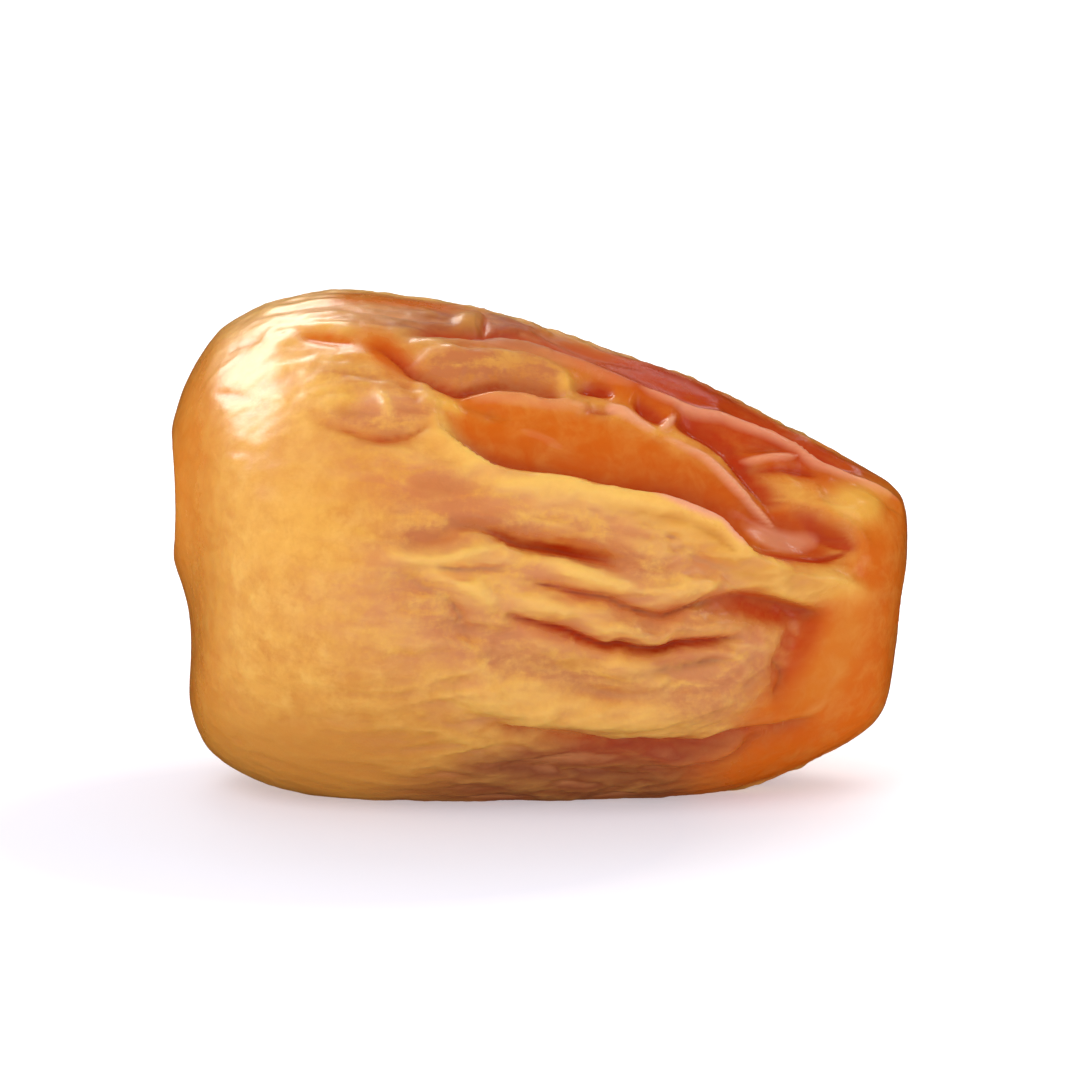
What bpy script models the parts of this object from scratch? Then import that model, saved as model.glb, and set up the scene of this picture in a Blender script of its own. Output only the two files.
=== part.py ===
"""A sukkari date, dried soft on the tree and lying on its side, as one solid.

The date lies along X with its broad calyx end at -X and its blunt tip at +X,
and it rests on a flat spot at Z = 0. The outline is drawn as it is seen from
the front, and the skin between its upper and lower line is round in depth.
Folds, creases and hollows are curves drawn on that skin and pressed into it.
"""

import math
import random

import bpy
import numpy as np

# Driving dimensions, in millimetres
LENGTH = 38.0
HEIGHT = 25.6
DEPTH = 24.8

# How much of the round body the table flattens, and how softly its edge turns
REST_SINK = 0.6
REST_ROUNDING = 0.2
ROUND_HEIGHT = HEIGHT + REST_SINK + REST_ROUNDING

# Front drawing: how far above the table the eye is
EYE_ELEVATION = math.radians(10)

# Scars at the two ends, in millimetres
CALYX_SCAR_RADIUS = 3.4
CALYX_SCAR_DEPTH = 0.4
CALYX_RIM_WIDTH = 0.9
CALYX_RIM_HEIGHT = 0.1
TIP_SCAR_RADIUS = 1.1
TIP_SCAR_DEPTH = 0.45

# Mesh: rings along the date, points round it, and triangles that are left
RINGS = 200
ROUND = 240
TRIANGLES = 11400
CURVE_STEPS = 8

# How far the two ends round off in depth, as a share of depth squared
CALYX_ROUNDING = 0.02
TIP_ROUNDING = 0.045

# How much closer the rings stand in the middle, and the points of a ring in front
RING_CROWDING = 0.05
FRONT_CROWDING = 0.2

# Outline in percent of the length from the calyx end, and of the height
UPPER_OUTLINE = [
    (0, 60.8), (0.5, 69.1), (1.4, 78), (3.4, 85.1), (6.8, 92.2), (11.3, 96.4), (16, 98.8),
    (25, 100), (39.2, 97.3), (47.6, 94.4), (58, 89.4), (70.5, 83.2), (82.6, 74.6), (94.2, 65.6),
    (98.2, 61.8), (99.8, 57.4), (100, 48), (99.6, 40),
]
LOWER_OUTLINE = [
    (0, 60.8), (0.3, 54), (1.3, 46), (2.7, 38), (3.0, 30), (2.8, 20), (4.5, 12.4), (7.4, 8),
    (11.3, 4.9), (16, 2.4), (25, 0), (45, -0.6), (62, 0), (73.7, 1.6), (79.2, 3.4), (85, 6.6),
    (89.4, 9.7), (93.7, 13.2), (96.4, 17), (97.7, 22), (98.6, 31), (99.6, 40),
]

# How sharp a fold is, and the distance from its line, in millimetres, over
# which the pieces of the line run into each other
SHARP = 1.15
ROUNDED = 2.0
NEAREST_BLEND = 0.05

# Front folds, each a curve of (percent of length, percent of seen height,
# depth in millimetres, negative where the skin stands up), then how far the
# fold reaches above and below its line in millimetres, and how sharp it is
FRONT_FOLDS = {
    "panel": ([(36.5, 76, 0), (40, 71, 0.5), (43.8, 67.8, 0.8), (47.8, 66.2, 1.0),
               (51.9, 65.5, 1.05), (55.9, 64.6, 1.1), (60.1, 63.2, 1.15), (64.4, 62.5, 1.2),
               (67.7, 61.7, 1.25), (70.5, 60.2, 1.3), (73, 58.6, 1.3), (75.2, 56.6, 1.25),
               (76.8, 54, 1.15), (78.3, 51.8, 1.05), (80.5, 50.2, 0.8), (83, 49.6, 0.6),
               (86, 49.2, 0.4), (90, 49.4, 0)], 3.0, 0.42, ROUNDED),
    "panel groove": ([(27.5, 89, 0.1), (29.5, 88.4, 0.4), (31.5, 86.4, 0.55), (33.5, 83.9, 0.7),
                      (35.5, 82.7, 0.75), (37.6, 81.2, 0.75), (39.4, 80.2, 0.7),
                      (41.6, 80.8, 0.8), (44, 81.5, 0.85), (46.4, 81.6, 0.85), (48.6, 81.2, 0.85),
                      (50.8, 80.6, 0.8), (52.6, 80.1, 0.5), (54, 79.6, 0)], 0.55, 0.3, SHARP),
    "groove branch": ([(54.5, 81.2, 0), (56, 80.9, 0.35), (57.5, 80.9, 0.55), (59.3, 80.4, 0.5),
                       (60.5, 79.4, 0)], 0.3, 0.3, SHARP),
    "branch web": ([(52, 83.6, 0), (53, 82.6, -0.2), (53.8, 81.4, -0.25), (54.6, 80.2, 0)],
                   0.35, 0.35, ROUNDED),
    "branch shade": ([(55, 76.4, 0), (57, 76.7, 0.2), (59.4, 76.5, 0.25), (60.6, 75.8, 0)],
                     0.25, 0.25, SHARP),
    "panel line": ([(39, 77.6, 0), (40.6, 77.2, 0.2), (43, 76.8, 0.28), (45, 75.8, 0.28),
                    (47.6, 75.2, 0)], 0.2, 0.25, SHARP),
    "panel streak": ([(46.4, 73.4, 0), (48.6, 73.2, -0.1), (51, 72.1, -0.14), (53, 70.8, -0.12),
                      (55.4, 69.2, 0)], 0.3, 0.3, ROUNDED),
    "panel roll": ([(39.6, 77.6, 0), (41.4, 78.8, -0.2), (44, 79.6, -0.35), (48, 79.2, -0.4),
                    (52, 78.4, -0.35), (56, 77.6, -0.25), (60, 75.6, 0)], 0.28, 0.6, ROUNDED),
    "panel rim": ([(36.2, 74.6, 0), (37.4, 72.8, 0.2), (39, 71, 0.3), (41, 69.4, 0.3),
                   (43, 67.8, 0.3), (45, 66.6, 0.3), (48, 65.6, 0.25), (52, 64.8, 0.25),
                   (56, 63.8, 0.25), (60, 62.4, 0.25), (64, 61.6, 0.3), (68, 60.6, 0.35),
                   (71, 59, 0.35), (74, 57.2, 0.35), (76, 54.6, 0.35), (77.8, 51.8, 0.25),
                   (80, 50, 0)], 0.4, 0.18, SHARP),
    "pool": ([(78, 60.5, 0), (81, 57, 0.5), (84, 53.8, 0.8), (87, 51.2, 0.85), (89.8, 50, 0.7),
              (92, 49.8, 0)], 0.9, 1.1, ROUNDED),
    "pool wall": ([(83.5, 58.2, 0), (86.5, 56, 0.25), (88.5, 53.6, 0.4), (90.5, 51.6, 0.45),
                   (91.8, 49.8, 0.35), (91.4, 47.8, 0)], 0.5, 0.5, ROUNDED),
    "pool line": ([(77.5, 50.8, 0), (80, 48.9, 0.3), (83, 47.9, 0.4), (86, 47.4, 0.4),
                   (89, 47.4, 0.4), (91.5, 48.6, 0.3), (92.6, 50.6, 0)], 0.3, 0.22, SHARP),
    "pool web": ([(66, 72.6, 0), (67.6, 71.8, -0.2), (70, 70.2, -0.3), (72.6, 68.4, -0.35),
                  (75, 65.8, -0.45), (77, 63, -0.5), (79.2, 59.9, -0.45), (80.8, 57.7, -0.4),
                  (82.3, 55.5, -0.3), (84.5, 52.5, 0)], 0.2, 0.2, SHARP),
    "panel crest": ([(58.6, 78, 0), (60, 77.2, -0.2), (61.5, 76.4, -0.28), (63, 75.4, -0.25),
                     (65, 73.8, -0.2), (66.4, 72.8, 0)], 0.25, 0.3, ROUNDED),
    "pool rim": ([(86.6, 63.5, 0), (87.4, 61, -0.2), (88.2, 58, -0.3), (89.8, 55.4, -0.35),
                  (92, 53.4, -0.35), (93.8, 51, -0.3), (94, 48, 0)], 0.3, 0.35, SHARP),
    "tip swell": ([(88, 58.6, 0), (91, 57.8, -0.35), (94, 57.2, -0.4), (97, 56.4, 0)],
                  1.1, 0.9, ROUNDED),
    "tip crease": ([(92, 61.4, 0), (94, 60.4, 0.15), (96, 59, 0.2), (98, 57.4, 0.15),
                    (99, 56, 0)], 0.2, 0.2, SHARP),
    "lip": ([(34, 78, 0), (36, 76.6, -0.2), (38.5, 71, -0.35), (41, 68, -0.42), (44, 65.2, -0.5),
             (48, 63.4, -0.5), (52, 62.6, -0.5), (56, 61.6, -0.5), (60, 60.3, -0.5),
             (64, 59.3, -0.5), (68, 57.7, -0.55), (71, 55.9, -0.6), (73.6, 54.2, -0.6),
             (75.4, 51.8, -0.6), (77.6, 48.9, -0.62), (80, 46.6, -0.62), (83, 44.7, -0.6),
             (86.4, 43.4, -0.5), (90.2, 42.6, -0.4), (93.1, 41, -0.2), (96, 39, 0)],
            0.42, 0.9, ROUNDED),
    "lip edge": ([(64, 60.2, 0), (66, 59.4, -0.12), (68, 58.4, -0.2), (70, 57.2, -0.25),
                  (72, 56, -0.25), (74, 55, -0.22), (75.3, 53, -0.22), (76.6, 50.8, -0.15),
                  (78, 48.8, 0)], 0.2, 0.28, ROUNDED),
    "lip line": ([(62.5, 56.8, 0), (65, 56, 0.2), (68, 55, 0.25), (71, 53.6, 0.3),
                  (73.2, 52, 0.3), (75, 49.8, 0.25), (77, 47.4, 0)], 0.22, 0.25, SHARP),
    "under lip": ([(56, 57.4, 0), (61, 56, 0.2), (66, 53.6, 0.35), (70.5, 48.8, 0.45),
                   (75, 44.8, 0.35), (80, 42, 0)], 0.35, 0.8, ROUNDED),
    "small cell": ([(62.6, 79, 0), (63.8, 77.8, 0.4), (65.2, 76.6, 0.5), (66.8, 75.2, 0.3),
                    (67.4, 74.4, 0)], 0.4, 0.35, ROUNDED),
    "red cell": ([(68, 76.8, 0), (69.5, 75.2, 0.45), (71.5, 73.8, 0.7), (74, 72, 0.7),
                  (76.2, 69.4, 0.65), (78, 66.4, 0.6), (80, 63, 0.55), (82, 60, 0.45),
                  (84, 57.4, 0)], 0.7, 0.4, ROUNDED),
    "cell web": ([(69.2, 76.6, 0), (67.7, 74.7, -0.28), (66.2, 72.7, 0)], 0.2, 0.2, SHARP),
    "upper ridge": ([(62, 81.2, 0), (65, 79.8, -0.3), (68.5, 77.9, -0.4), (72, 76.4, -0.45),
                     (75, 75.3, -0.45), (78, 73.3, -0.5), (81, 71.6, -0.5), (84, 69.6, -0.5),
                     (86.4, 66.8, -0.5), (89, 64.7, -0.45), (92, 62.7, -0.4), (95, 61, -0.35),
                     (98, 59, -0.2), (99.4, 57, 0)], 0.2, 0.22, SHARP),
    "rim valley": ([(74.5, 77.4, 0), (77, 76, 0.3), (80, 74.3, 0.4), (83, 72.4, 0.45),
                    (86, 69.8, 0.45), (89, 67.3, 0.4), (92, 65.2, 0.2), (93.5, 64.2, 0)],
                   0.3, 0.35, SHARP),
    "ridge valley": ([(75.5, 70.7, 0), (78, 70.1, 0.25), (80.5, 69.3, 0.3), (83, 68.9, 0.2),
                      (84.5, 68.4, 0)], 0.22, 0.22, SHARP),
    "cell shade": ([(77.5, 67, 0), (80, 66.1, 0.25), (83, 65.6, 0.3), (85.5, 65, 0.4),
                    (87, 64.3, 0.3), (88.5, 63.2, 0)], 0.28, 0.3, SHARP),
    "second ridge": ([(77, 68.7, 0), (79.5, 67.8, -0.25), (82, 67.8, -0.3), (84, 67.4, -0.2),
                      (85.4, 66.8, 0)], 0.2, 0.22, SHARP),
    "golden roll": ([(33.5, 86.8, 0), (36, 87.3, -0.3), (41.8, 87, -0.4), (47.8, 86, -0.42),
                     (52.4, 83.8, -0.32), (56, 81, 0)], 0.4, 0.7, ROUNDED),
    "roll line": ([(36, 88.9, 0), (41, 88.4, 0.25), (47, 87.4, 0.3), (51.5, 85.6, 0.3),
                   (55, 83.4, 0)], 0.2, 0.2, SHARP),
    "sheen roll": ([(33, 90.2, 0), (37, 90, -0.2), (41, 89.6, -0.3), (46, 88.9, -0.4),
                    (50, 87.4, -0.45), (54, 85.6, -0.45), (58, 83.6, -0.4), (62, 81.4, -0.3),
                    (65, 79.8, 0)], 0.3, 0.45, ROUNDED),
    "shoulder crease": ([(31, 90.8, 0), (35.3, 91.4, 0.35), (38.5, 91.1, 0.5), (41.8, 91, 0.6),
                         (45.8, 91.2, 0.6), (49, 90.6, 0.5), (52, 89.4, 0.4), (56, 87.8, 0.3),
                         (60, 85.6, 0)], 0.35, 0.3, SHARP),
    "top crease": ([(49, 93, 0), (52, 91.4, 0.3), (56, 89.2, 0.4), (60, 87, 0.35), (65, 84.2, 0)],
                   0.35, 0.35, SHARP),
    "top knob": ([(38.6, 93.8, 0), (40, 94.1, -0.25), (41.8, 94, -0.28), (43, 93.6, 0)],
                 0.5, 0.45, ROUNDED),
    "knob crease": ([(43.2, 96, 0), (43, 94.4, 0.25), (42.9, 92.6, 0.25), (43.2, 91.4, 0)],
                    0.2, 0.25, SHARP),
    "upper groove": ([(17, 91.2, 0), (19.5, 90.7, 0.22), (22, 90.3, 0.3), (24.5, 89.8, 0.22),
                      (27, 89.4, 0)], 0.4, 0.35, ROUNDED),
    "calyx pleat": ([(22, 84.2, 0), (25, 83.6, 0.12), (28, 82.2, 0.15), (31, 80.4, 0)],
                    0.35, 0.35, ROUNDED),
    "window wrinkle": ([(6.4, 79.4, 0), (8.5, 79.3, 0.1), (11, 78.6, 0.1), (13, 78, 0)],
                       0.3, 0.25, SHARP),
    "window hook": ([(8.4, 87.6, 0), (9.8, 88.8, 0.1), (11.8, 89.6, 0.08), (13.5, 89.8, 0)],
                    0.25, 0.25, SHARP),
    "bump wrinkle": ([(29.5, 83.2, 0), (32, 80.8, 0.14), (33.6, 78.4, 0.12), (34.4, 76, 0)],
                     0.22, 0.22, SHARP),
    "bump streak": ([(22, 77.4, 0), (24.4, 76, 0.12), (27, 75.4, 0.1), (29.5, 75.4, 0)],
                    0.22, 0.3, SHARP),
    "bump crest": ([(28, 80.4, 0), (29.4, 78, -0.14), (30.2, 75.4, -0.12), (30.6, 73.2, 0)],
                   0.3, 0.3, ROUNDED),
    "calyx crease": ([(19.5, 74.4, 0), (22, 73.4, 0.12), (24.5, 72.4, 0.22), (27, 71.2, 0.32),
                      (30, 70.8, 0.36), (33, 71.4, 0.32), (35, 72.6, 0.2), (36.5, 74, 0)],
                     0.2, 0.3, SHARP),
    "calyx bump": ([(25, 78, 0), (29, 77, -0.3), (32, 76.2, -0.38), (35, 75.8, -0.3),
                    (37, 76, 0)], 1.1, 0.8, ROUNDED),
    "bump patch": ([(33.6, 77.6, 0), (36, 77.4, -0.15), (38.6, 77, -0.15), (40.6, 75.4, 0)],
                   0.3, 0.3, ROUNDED),
    "dimple": ([(37, 53.6, 0), (39.5, 54, 0.25), (43.1, 52.9, 0.5), (45.6, 51.5, 0.75),
                (47.8, 50, 0.9), (51.6, 49.2, 0.95), (55.4, 48.1, 0.9), (58.7, 47.2, 0.7),
                (60.9, 46, 0.3), (62.4, 45.2, 0)], 0.5, 0.28, ROUNDED),
    "dimple tail": ([(32.6, 50.6, 0), (34.8, 51.1, 0.2), (37.8, 51.8, 0.28), (41.6, 53.3, 0.1)],
                    0.4, 0.4, ROUNDED),
    "dimple lip": ([(50.5, 47.2, 0), (53.9, 45.3, -0.35), (56.6, 44.5, -0.42),
                    (59.2, 43.5, -0.42), (61.2, 42.6, -0.35), (64, 41.6, 0)],
                   0.32, 0.45, ROUNDED),
    "middle crest": ([(62, 43, 0), (66, 41.4, -0.3), (70, 42, -0.38), (73, 43, -0.25),
                      (76.5, 43.4, 0)], 0.45, 0.45, ROUNDED),
    "brow": ([(29.5, 48.6, 0), (31.5, 48.2, -0.2), (34, 47.5, -0.3), (37.1, 47.3, -0.32),
              (40.1, 48.2, -0.38), (42.8, 48.7, -0.32), (45.4, 47.3, 0)], 0.35, 0.35, ROUNDED),
    "brow groove": ([(33, 46, 0), (36, 45.8, 0.2), (40, 45.4, 0.32), (43.5, 45, 0.32),
                     (47, 44.4, 0)], 0.25, 0.3, SHARP),
    "lower brow": ([(34.5, 45.4, 0), (37.1, 44.3, -0.25), (40.6, 42.5, -0.35),
                    (42.8, 40.6, -0.32), (44.8, 37.6, 0)], 0.35, 0.4, ROUNDED),
    "cheek groove": ([(28.6, 44.6, 0), (31, 44.2, 0.28), (33, 43.5, 0.35), (35.3, 41.4, 0.4),
                      (37.8, 40, 0.4), (39.3, 37.6, 0.38), (40.6, 33.3, 0.28), (42.1, 28.9, 0)],
                     0.35, 0.8, SHARP),
    "cheek hollow": ([(35, 39.6, 0), (39, 36.5, 0.25), (42, 33.5, 0.38), (46, 31, 0.35),
                      (50, 28.5, 0)], 1.0, 1.1, ROUNDED),
    "long crease": ([(47.5, 43.2, 0), (50.6, 42.4, 0.38), (53.6, 41.3, 0.5), (56.6, 40.2, 0.55),
                     (59.2, 39.8, 0.55), (61.7, 38, 0.6), (66.3, 36.2, 0.6), (69.3, 37.6, 0.55),
                     (72.1, 38.9, 0.3), (74, 39.6, 0)], 0.28, 0.28, SHARP),
    "middle fold": ([(45, 41, 0), (49, 39.4, -0.3), (54, 37.6, -0.4), (58, 36.8, -0.35),
                     (61.4, 35.6, 0)], 0.35, 0.4, ROUNDED),
    "pink ridge": ([(55, 35.4, 0), (58, 34.6, -0.38), (61.8, 33.8, -0.48), (65.5, 32.4, -0.5),
                    (68.6, 34.2, -0.45), (70.6, 33.8, -0.42), (75.6, 34.4, -0.38), (79, 33.2, 0)],
                   0.35, 0.35, ROUNDED),
    "strong crease": ([(45.5, 36.6, 0), (47.6, 35.8, 0.45), (52.4, 34, 0.65), (54.6, 32.9, 0.7),
                       (56.6, 31.4, 0.75), (59.2, 30.3, 0.8), (61, 30.7, 0.75), (63.5, 29.6, 0.8),
                       (66.3, 29.6, 0.8), (68.6, 30.7, 0.75), (72.1, 31.1, 0.65),
                       (75.6, 31.8, 0.45), (78, 32.4, 0)], 0.26, 0.45, SHARP),
    "ripple": ([(60, 25.8, 0), (64, 25.2, 0.2), (68, 25.8, 0.28), (71, 26.7, 0.32),
                (73, 27.1, 0.32), (76, 27.8, 0)], 0.28, 0.28, SHARP),
    "recess": ([(70.5, 37.8, 0), (72.1, 38.5, 0.4), (74.3, 39.6, 0.6), (77.1, 40.2, 0.8),
                (80.1, 39.8, 0.95), (83.1, 38.8, 1.0), (86.4, 37.2, 0.7), (88.8, 35.4, 0)],
               0.28, 1.7, ROUNDED),
    "recess tail": ([(87, 37, 0.2), (85.6, 32, 0.35), (83.4, 27, 0.3), (82.2, 21.2, 0.15),
                     (81, 18, 0)], 1.0, 1.1, ROUNDED),
    "tail crease": ([(81.3, 28.8, 0), (81.9, 27.1, 0.3), (83.1, 24.2, 0.38), (82.1, 21.2, 0.3),
                     (81.6, 19.4, 0)], 0.25, 0.25, SHARP),
    "tan hollow": ([(42, 28.4, 0), (44.1, 27.4, 0.28), (51.6, 25.6, 0.42), (59.2, 22, 0.32),
                    (63, 20.6, 0)], 0.9, 0.7, ROUNDED),
    "pale patch": ([(58, 27.2, 0), (61, 26, -0.3), (65.6, 24.2, -0.28), (68.6, 23.4, 0)],
                   0.6, 0.55, ROUNDED),
    "mound": ([(39.6, 23.8, 0), (41.3, 22.7, -0.3), (43.6, 21.4, -0.42), (45.6, 19.8, -0.48),
               (48.1, 18.7, -0.52), (51.6, 17.9, -0.58), (56.1, 17.2, -0.62), (62, 17.2, -0.62),
               (68, 18, -0.58), (74, 19.6, -0.42), (79.4, 22, 0)], 0.7, 0.9, ROUNDED),
    "low crease": ([(42, 15.6, 0), (45.1, 14.7, 0.4), (49.1, 13.9, 0.58), (54.1, 12.8, 0.68),
                    (58, 11.6, 0.75), (61.8, 11, 0.8), (69.3, 10.9, 0.75), (73.1, 11.4, 0.7),
                    (75.6, 12.7, 0.65), (78.1, 13.2, 0.6), (81.9, 14, 0.52), (85.1, 15, 0.4),
                    (88.1, 16.2, 0)], 0.25, 0.7, SHARP),
    "low ridge": ([(63, 9, 0), (66.3, 8.4, -0.3), (71, 7.6, -0.38), (75.6, 9.4, -0.32),
                   (78.1, 11.2, 0)], 0.3, 0.35, ROUNDED),
    "low branch": ([(68, 5.5, 0), (70.6, 5.9, 0.38), (74.3, 7, 0.45), (77.6, 9.4, 0.45),
                    (79.3, 11.4, 0.35), (81.9, 12.7, 0)], 0.28, 0.3, SHARP),
    "underside crease": ([(44, 6.8, 0), (49, 5.9, 0.45), (55, 5, 0.5), (61, 4.6, 0.4),
                          (67, 5, 0)], 0.5, 0.5, SHARP),
}

# Back folds, drawn on the skin rolled flat: (percent of length, degrees round
# from the front over the top, depth in millimetres), then the same two
# reaches, towards the front and away from it, and how sharp it is
BACK_FOLDS = {
    "back panel": ([(34, 150, 0), (41, 153, 0.6), (50, 157, 1.0), (60, 159, 1.1), (70, 160, 1.2),
                    (79, 163, 1.2), (86, 166, 0.7), (90, 167, 0)], 3.2, 0.5, ROUNDED),
    "back rim": ([(38, 154, 0), (46, 158, 0.25), (55, 161.5, 0.3), (64, 162.5, 0.3),
                  (74, 164.5, 0.35), (82, 168, 0.3), (89, 170, 0)], 0.35, 0.2, SHARP),
    "back crest": ([(44, 143, 0), (50, 147, -0.25), (57, 147, -0.3), (64, 151, -0.3),
                    (72, 152, -0.25), (80, 157, 0)], 0.3, 0.35, ROUNDED),
    "back lip": ([(32, 155, 0), (40, 158, -0.4), (50, 162.5, -0.55), (60, 165, -0.55),
                  (68, 165, -0.5), (76, 169, -0.55), (86, 173, -0.35), (93, 174, 0)],
                 0.5, 1.2, ROUNDED),
    "back groove": ([(28, 128, 0), (32, 124.5, 0.5), (37, 124, 0.7), (42, 127.5, 0.7),
                     (47, 128.5, 0.75), (53, 126, 0.7), (59, 126.5, 0.7), (66, 130, 0.6),
                     (78, 134, 0.4), (88, 136, 0)], 0.5, 0.5, SHARP),
    "groove fork": ([(45, 128, 0), (49, 133, 0.35), (54, 136, 0.5), (61, 136, 0.5), (67, 139, 0)],
                    0.35, 0.3, SHARP),
    "back crease": ([(20, 104, 0), (28, 107, 0.4), (34, 105, 0.55), (40, 103.5, 0.6),
                     (48, 106.5, 0.6), (55, 106, 0.55), (62, 109, 0.5), (74, 108, 0.5),
                     (84, 112, 0.3), (92, 112, 0)], 0.4, 0.6, SHARP),
    "back roll": ([(30, 113, 0), (40, 112, -0.35), (48, 116.5, -0.45), (57, 115.5, -0.4),
                   (68, 119, -0.4), (82, 122, 0)], 0.7, 0.7, ROUNDED),
    "roll dent": ([(52, 111, 0), (56, 112, 0.3), (60, 114, 0.35), (66, 113, 0)], 0.3, 0.3, SHARP),
    "back dimple": ([(26, 178, 0), (30, 175.5, 0.35), (35, 173.5, 0.6), (40, 173, 0.75),
                     (44, 175, 0.7), (49, 177, 0.4), (53, 177.5, 0)], 0.28, 0.5, ROUNDED),
    "dimple brow": ([(24, 171, 0), (29, 169, -0.25), (35, 167.5, -0.35), (42, 169, -0.32),
                     (49, 172, -0.2), (52, 173, 0)], 0.4, 0.4, ROUNDED),
    "mid crease": ([(26, 184, 0), (34, 187, 0.4), (40, 184, 0.5), (46, 182.5, 0.6),
                    (52, 185.5, 0.65), (58, 185, 0.65), (68, 190, 0.6), (75, 188, 0.5),
                    (82, 190, 0.35), (90, 190, 0)], 0.35, 0.7, SHARP),
    "crease fork": ([(55, 185, 0), (59, 180, 0.4), (64, 176.5, 0.5), (70, 177, 0.45),
                     (75, 174.5, 0)], 0.3, 0.35, SHARP),
    "mid ridge": ([(38, 195, 0), (43, 192.5, -0.3), (48, 192, -0.4), (54, 195.5, -0.45),
                   (60, 195, -0.42), (70, 200, -0.4), (82, 199, 0)], 0.5, 0.6, ROUNDED),
    "ridge line": ([(46, 199, 0), (51, 200.5, 0.3), (57, 199.5, 0.4), (63, 202.5, 0.4),
                    (69, 204.5, 0.3), (76, 203, 0)], 0.28, 0.3, SHARP),
    "back hollow": ([(18, 196, 0), (26, 200, 0.25), (34, 203, 0.35), (42, 206, 0.25),
                     (48, 209, 0)], 1.3, 1.3, ROUNDED),
    "lower crease": ([(30, 212, 0), (36, 209, 0.35), (42, 208, 0.5), (47, 210.5, 0.55),
                      (53, 212, 0.6), (59, 211, 0.6), (66, 214, 0.55), (75, 210, 0.45),
                      (87, 212, 0)], 0.35, 0.6, SHARP),
    "lower swell": ([(36, 218, 0), (44, 218.5, -0.35), (53, 220, -0.5), (63, 222, -0.5),
                     (73, 219, -0.4), (82, 220, 0)], 0.7, 0.7, ROUNDED),
    "lower hollow": ([(44, 230, 0), (54, 228, 0.45), (60, 231, 0.5), (66, 232, 0.5),
                      (78, 229, 0.3), (88, 230, 0)], 0.5, 0.8, SHARP),
    "low ripple": ([(34, 243, 0), (42, 246, 0.3), (50, 243.5, 0.42), (58, 246, 0.42),
                    (67, 243, 0.35), (78, 245, 0)], 0.4, 0.5, SHARP),
    "back recess": ([(76, 180, 0), (80, 181, 0.5), (84, 183.5, 0.85), (88, 186, 0.7),
                     (91, 188, 0)], 0.3, 1.1, ROUNDED),
    "cross web": ([(52, 131, 0), (54.5, 138, -0.35), (55.5, 146, -0.3), (55, 152, 0)],
                  0.4, 0.4, SHARP),
    "second web": ([(72, 134, 0), (70, 142, -0.35), (71, 150, -0.3), (73, 156, 0)],
                   0.4, 0.4, SHARP),
    "shoulder dent": ([(12, 138, 0), (19, 141, 0.22), (27, 139, 0.28), (35, 141, 0)],
                      0.9, 0.9, ROUNDED),
    "calyx flute": ([(6, 168, 0), (13, 170, 0.25), (22, 172, 0.2), (30, 170, 0)],
                    1.3, 1.3, ROUNDED),
}

# Small wrinkles drawn by lot on the back, the top and the underside
WRINKLE_SEED = 11
WRINKLE_COUNT = 18
WRINKLE_ANGLES = (100, 345)
WRINKLE_DEPTH = (0.12, 0.32)
WRINKLE_REACH = (0.35, 0.7)

# Colour and finish of the skin
SKIN_COLOUR = (0.72, 0.34, 0.07, 1.0)
SKIN_ROUGHNESS = 0.38


def smooth_step(low, high, value):
    """0 below low, 1 above high, and an even S between them."""
    part = np.clip((value - low) / (high - low), 0.0, 1.0)
    return part * part * (3.0 - 2.0 * part)


def smooth_curve(points, steps):
    """A Catmull-Rom curve through the points, with steps pieces to a span."""
    points = np.asarray(points, float)
    ends = np.vstack([2 * points[0] - points[1], points, 2 * points[-1] - points[-2]])
    part = np.linspace(0, 1, steps, endpoint=False)[:, None]
    spans = []
    for before, start, end, after in zip(ends, ends[1:], ends[2:], ends[3:]):
        spans.append(
            0.5 * (2 * start + (end - before) * part
                   + (2 * before - 5 * start + 4 * end - after) * part ** 2
                   + (3 * start - before - 3 * end + after) * part ** 3)
        )
    return np.vstack(spans + [points[-1:]])


def even_points(curve, fractions):
    """Points at the given fractions of a curve's own length."""
    steps = np.linalg.norm(np.diff(curve, axis=0), axis=1)
    travelled = np.concatenate([[0], np.cumsum(steps)])
    wanted = fractions * travelled[-1]
    return np.column_stack([np.interp(wanted, travelled, axis) for axis in curve.T])


def outline_line(points, fractions):
    """One line of the outline, in millimetres, from the calyx end to the tip."""
    line = np.asarray(points, float) * (LENGTH, ROUND_HEIGHT) / 100
    return even_points(smooth_curve(line, CURVE_STEPS), fractions) - (LENGTH / 2, REST_SINK)


def bare_body():
    """Grid of points, rings by points round, of the date with no folds yet.

    Each ring is an ellipse that hangs between a point of the upper line and
    one of the lower line. Angles start at the front and go over the top.
    """
    steps = np.linspace(0, 1, RINGS + 2)[1:-1]
    fractions = steps + RING_CROWDING * np.sin(2 * math.pi * steps)
    upper = outline_line(UPPER_OUTLINE, fractions)
    lower = outline_line(LOWER_OUTLINE, fractions)
    middle = (upper + lower) / 2
    reach = (upper - lower) / 2
    half_depth = np.linalg.norm(reach, axis=1) * DEPTH / ROUND_HEIGHT
    turn = np.linspace(0, 2 * math.pi, ROUND, endpoint=False)
    angle = turn - FRONT_CROWDING * np.sin(turn)
    along = 0.5 + middle[:, 0] / LENGTH
    bow = (CALYX_ROUNDING * (1 - smooth_step(0, 0.4, along))
           - TIP_ROUNDING * smooth_step(0.7, 1, along)) * half_depth ** 2
    x = middle[:, :1] + reach[:, :1] * np.sin(angle) + bow[:, None] * np.cos(angle) ** 2
    y = -half_depth[:, None] * np.cos(angle)
    z = middle[:, 1:] + reach[:, 1:] * np.sin(angle)
    return np.stack([x, y, z], axis=2), half_depth, angle


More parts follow.
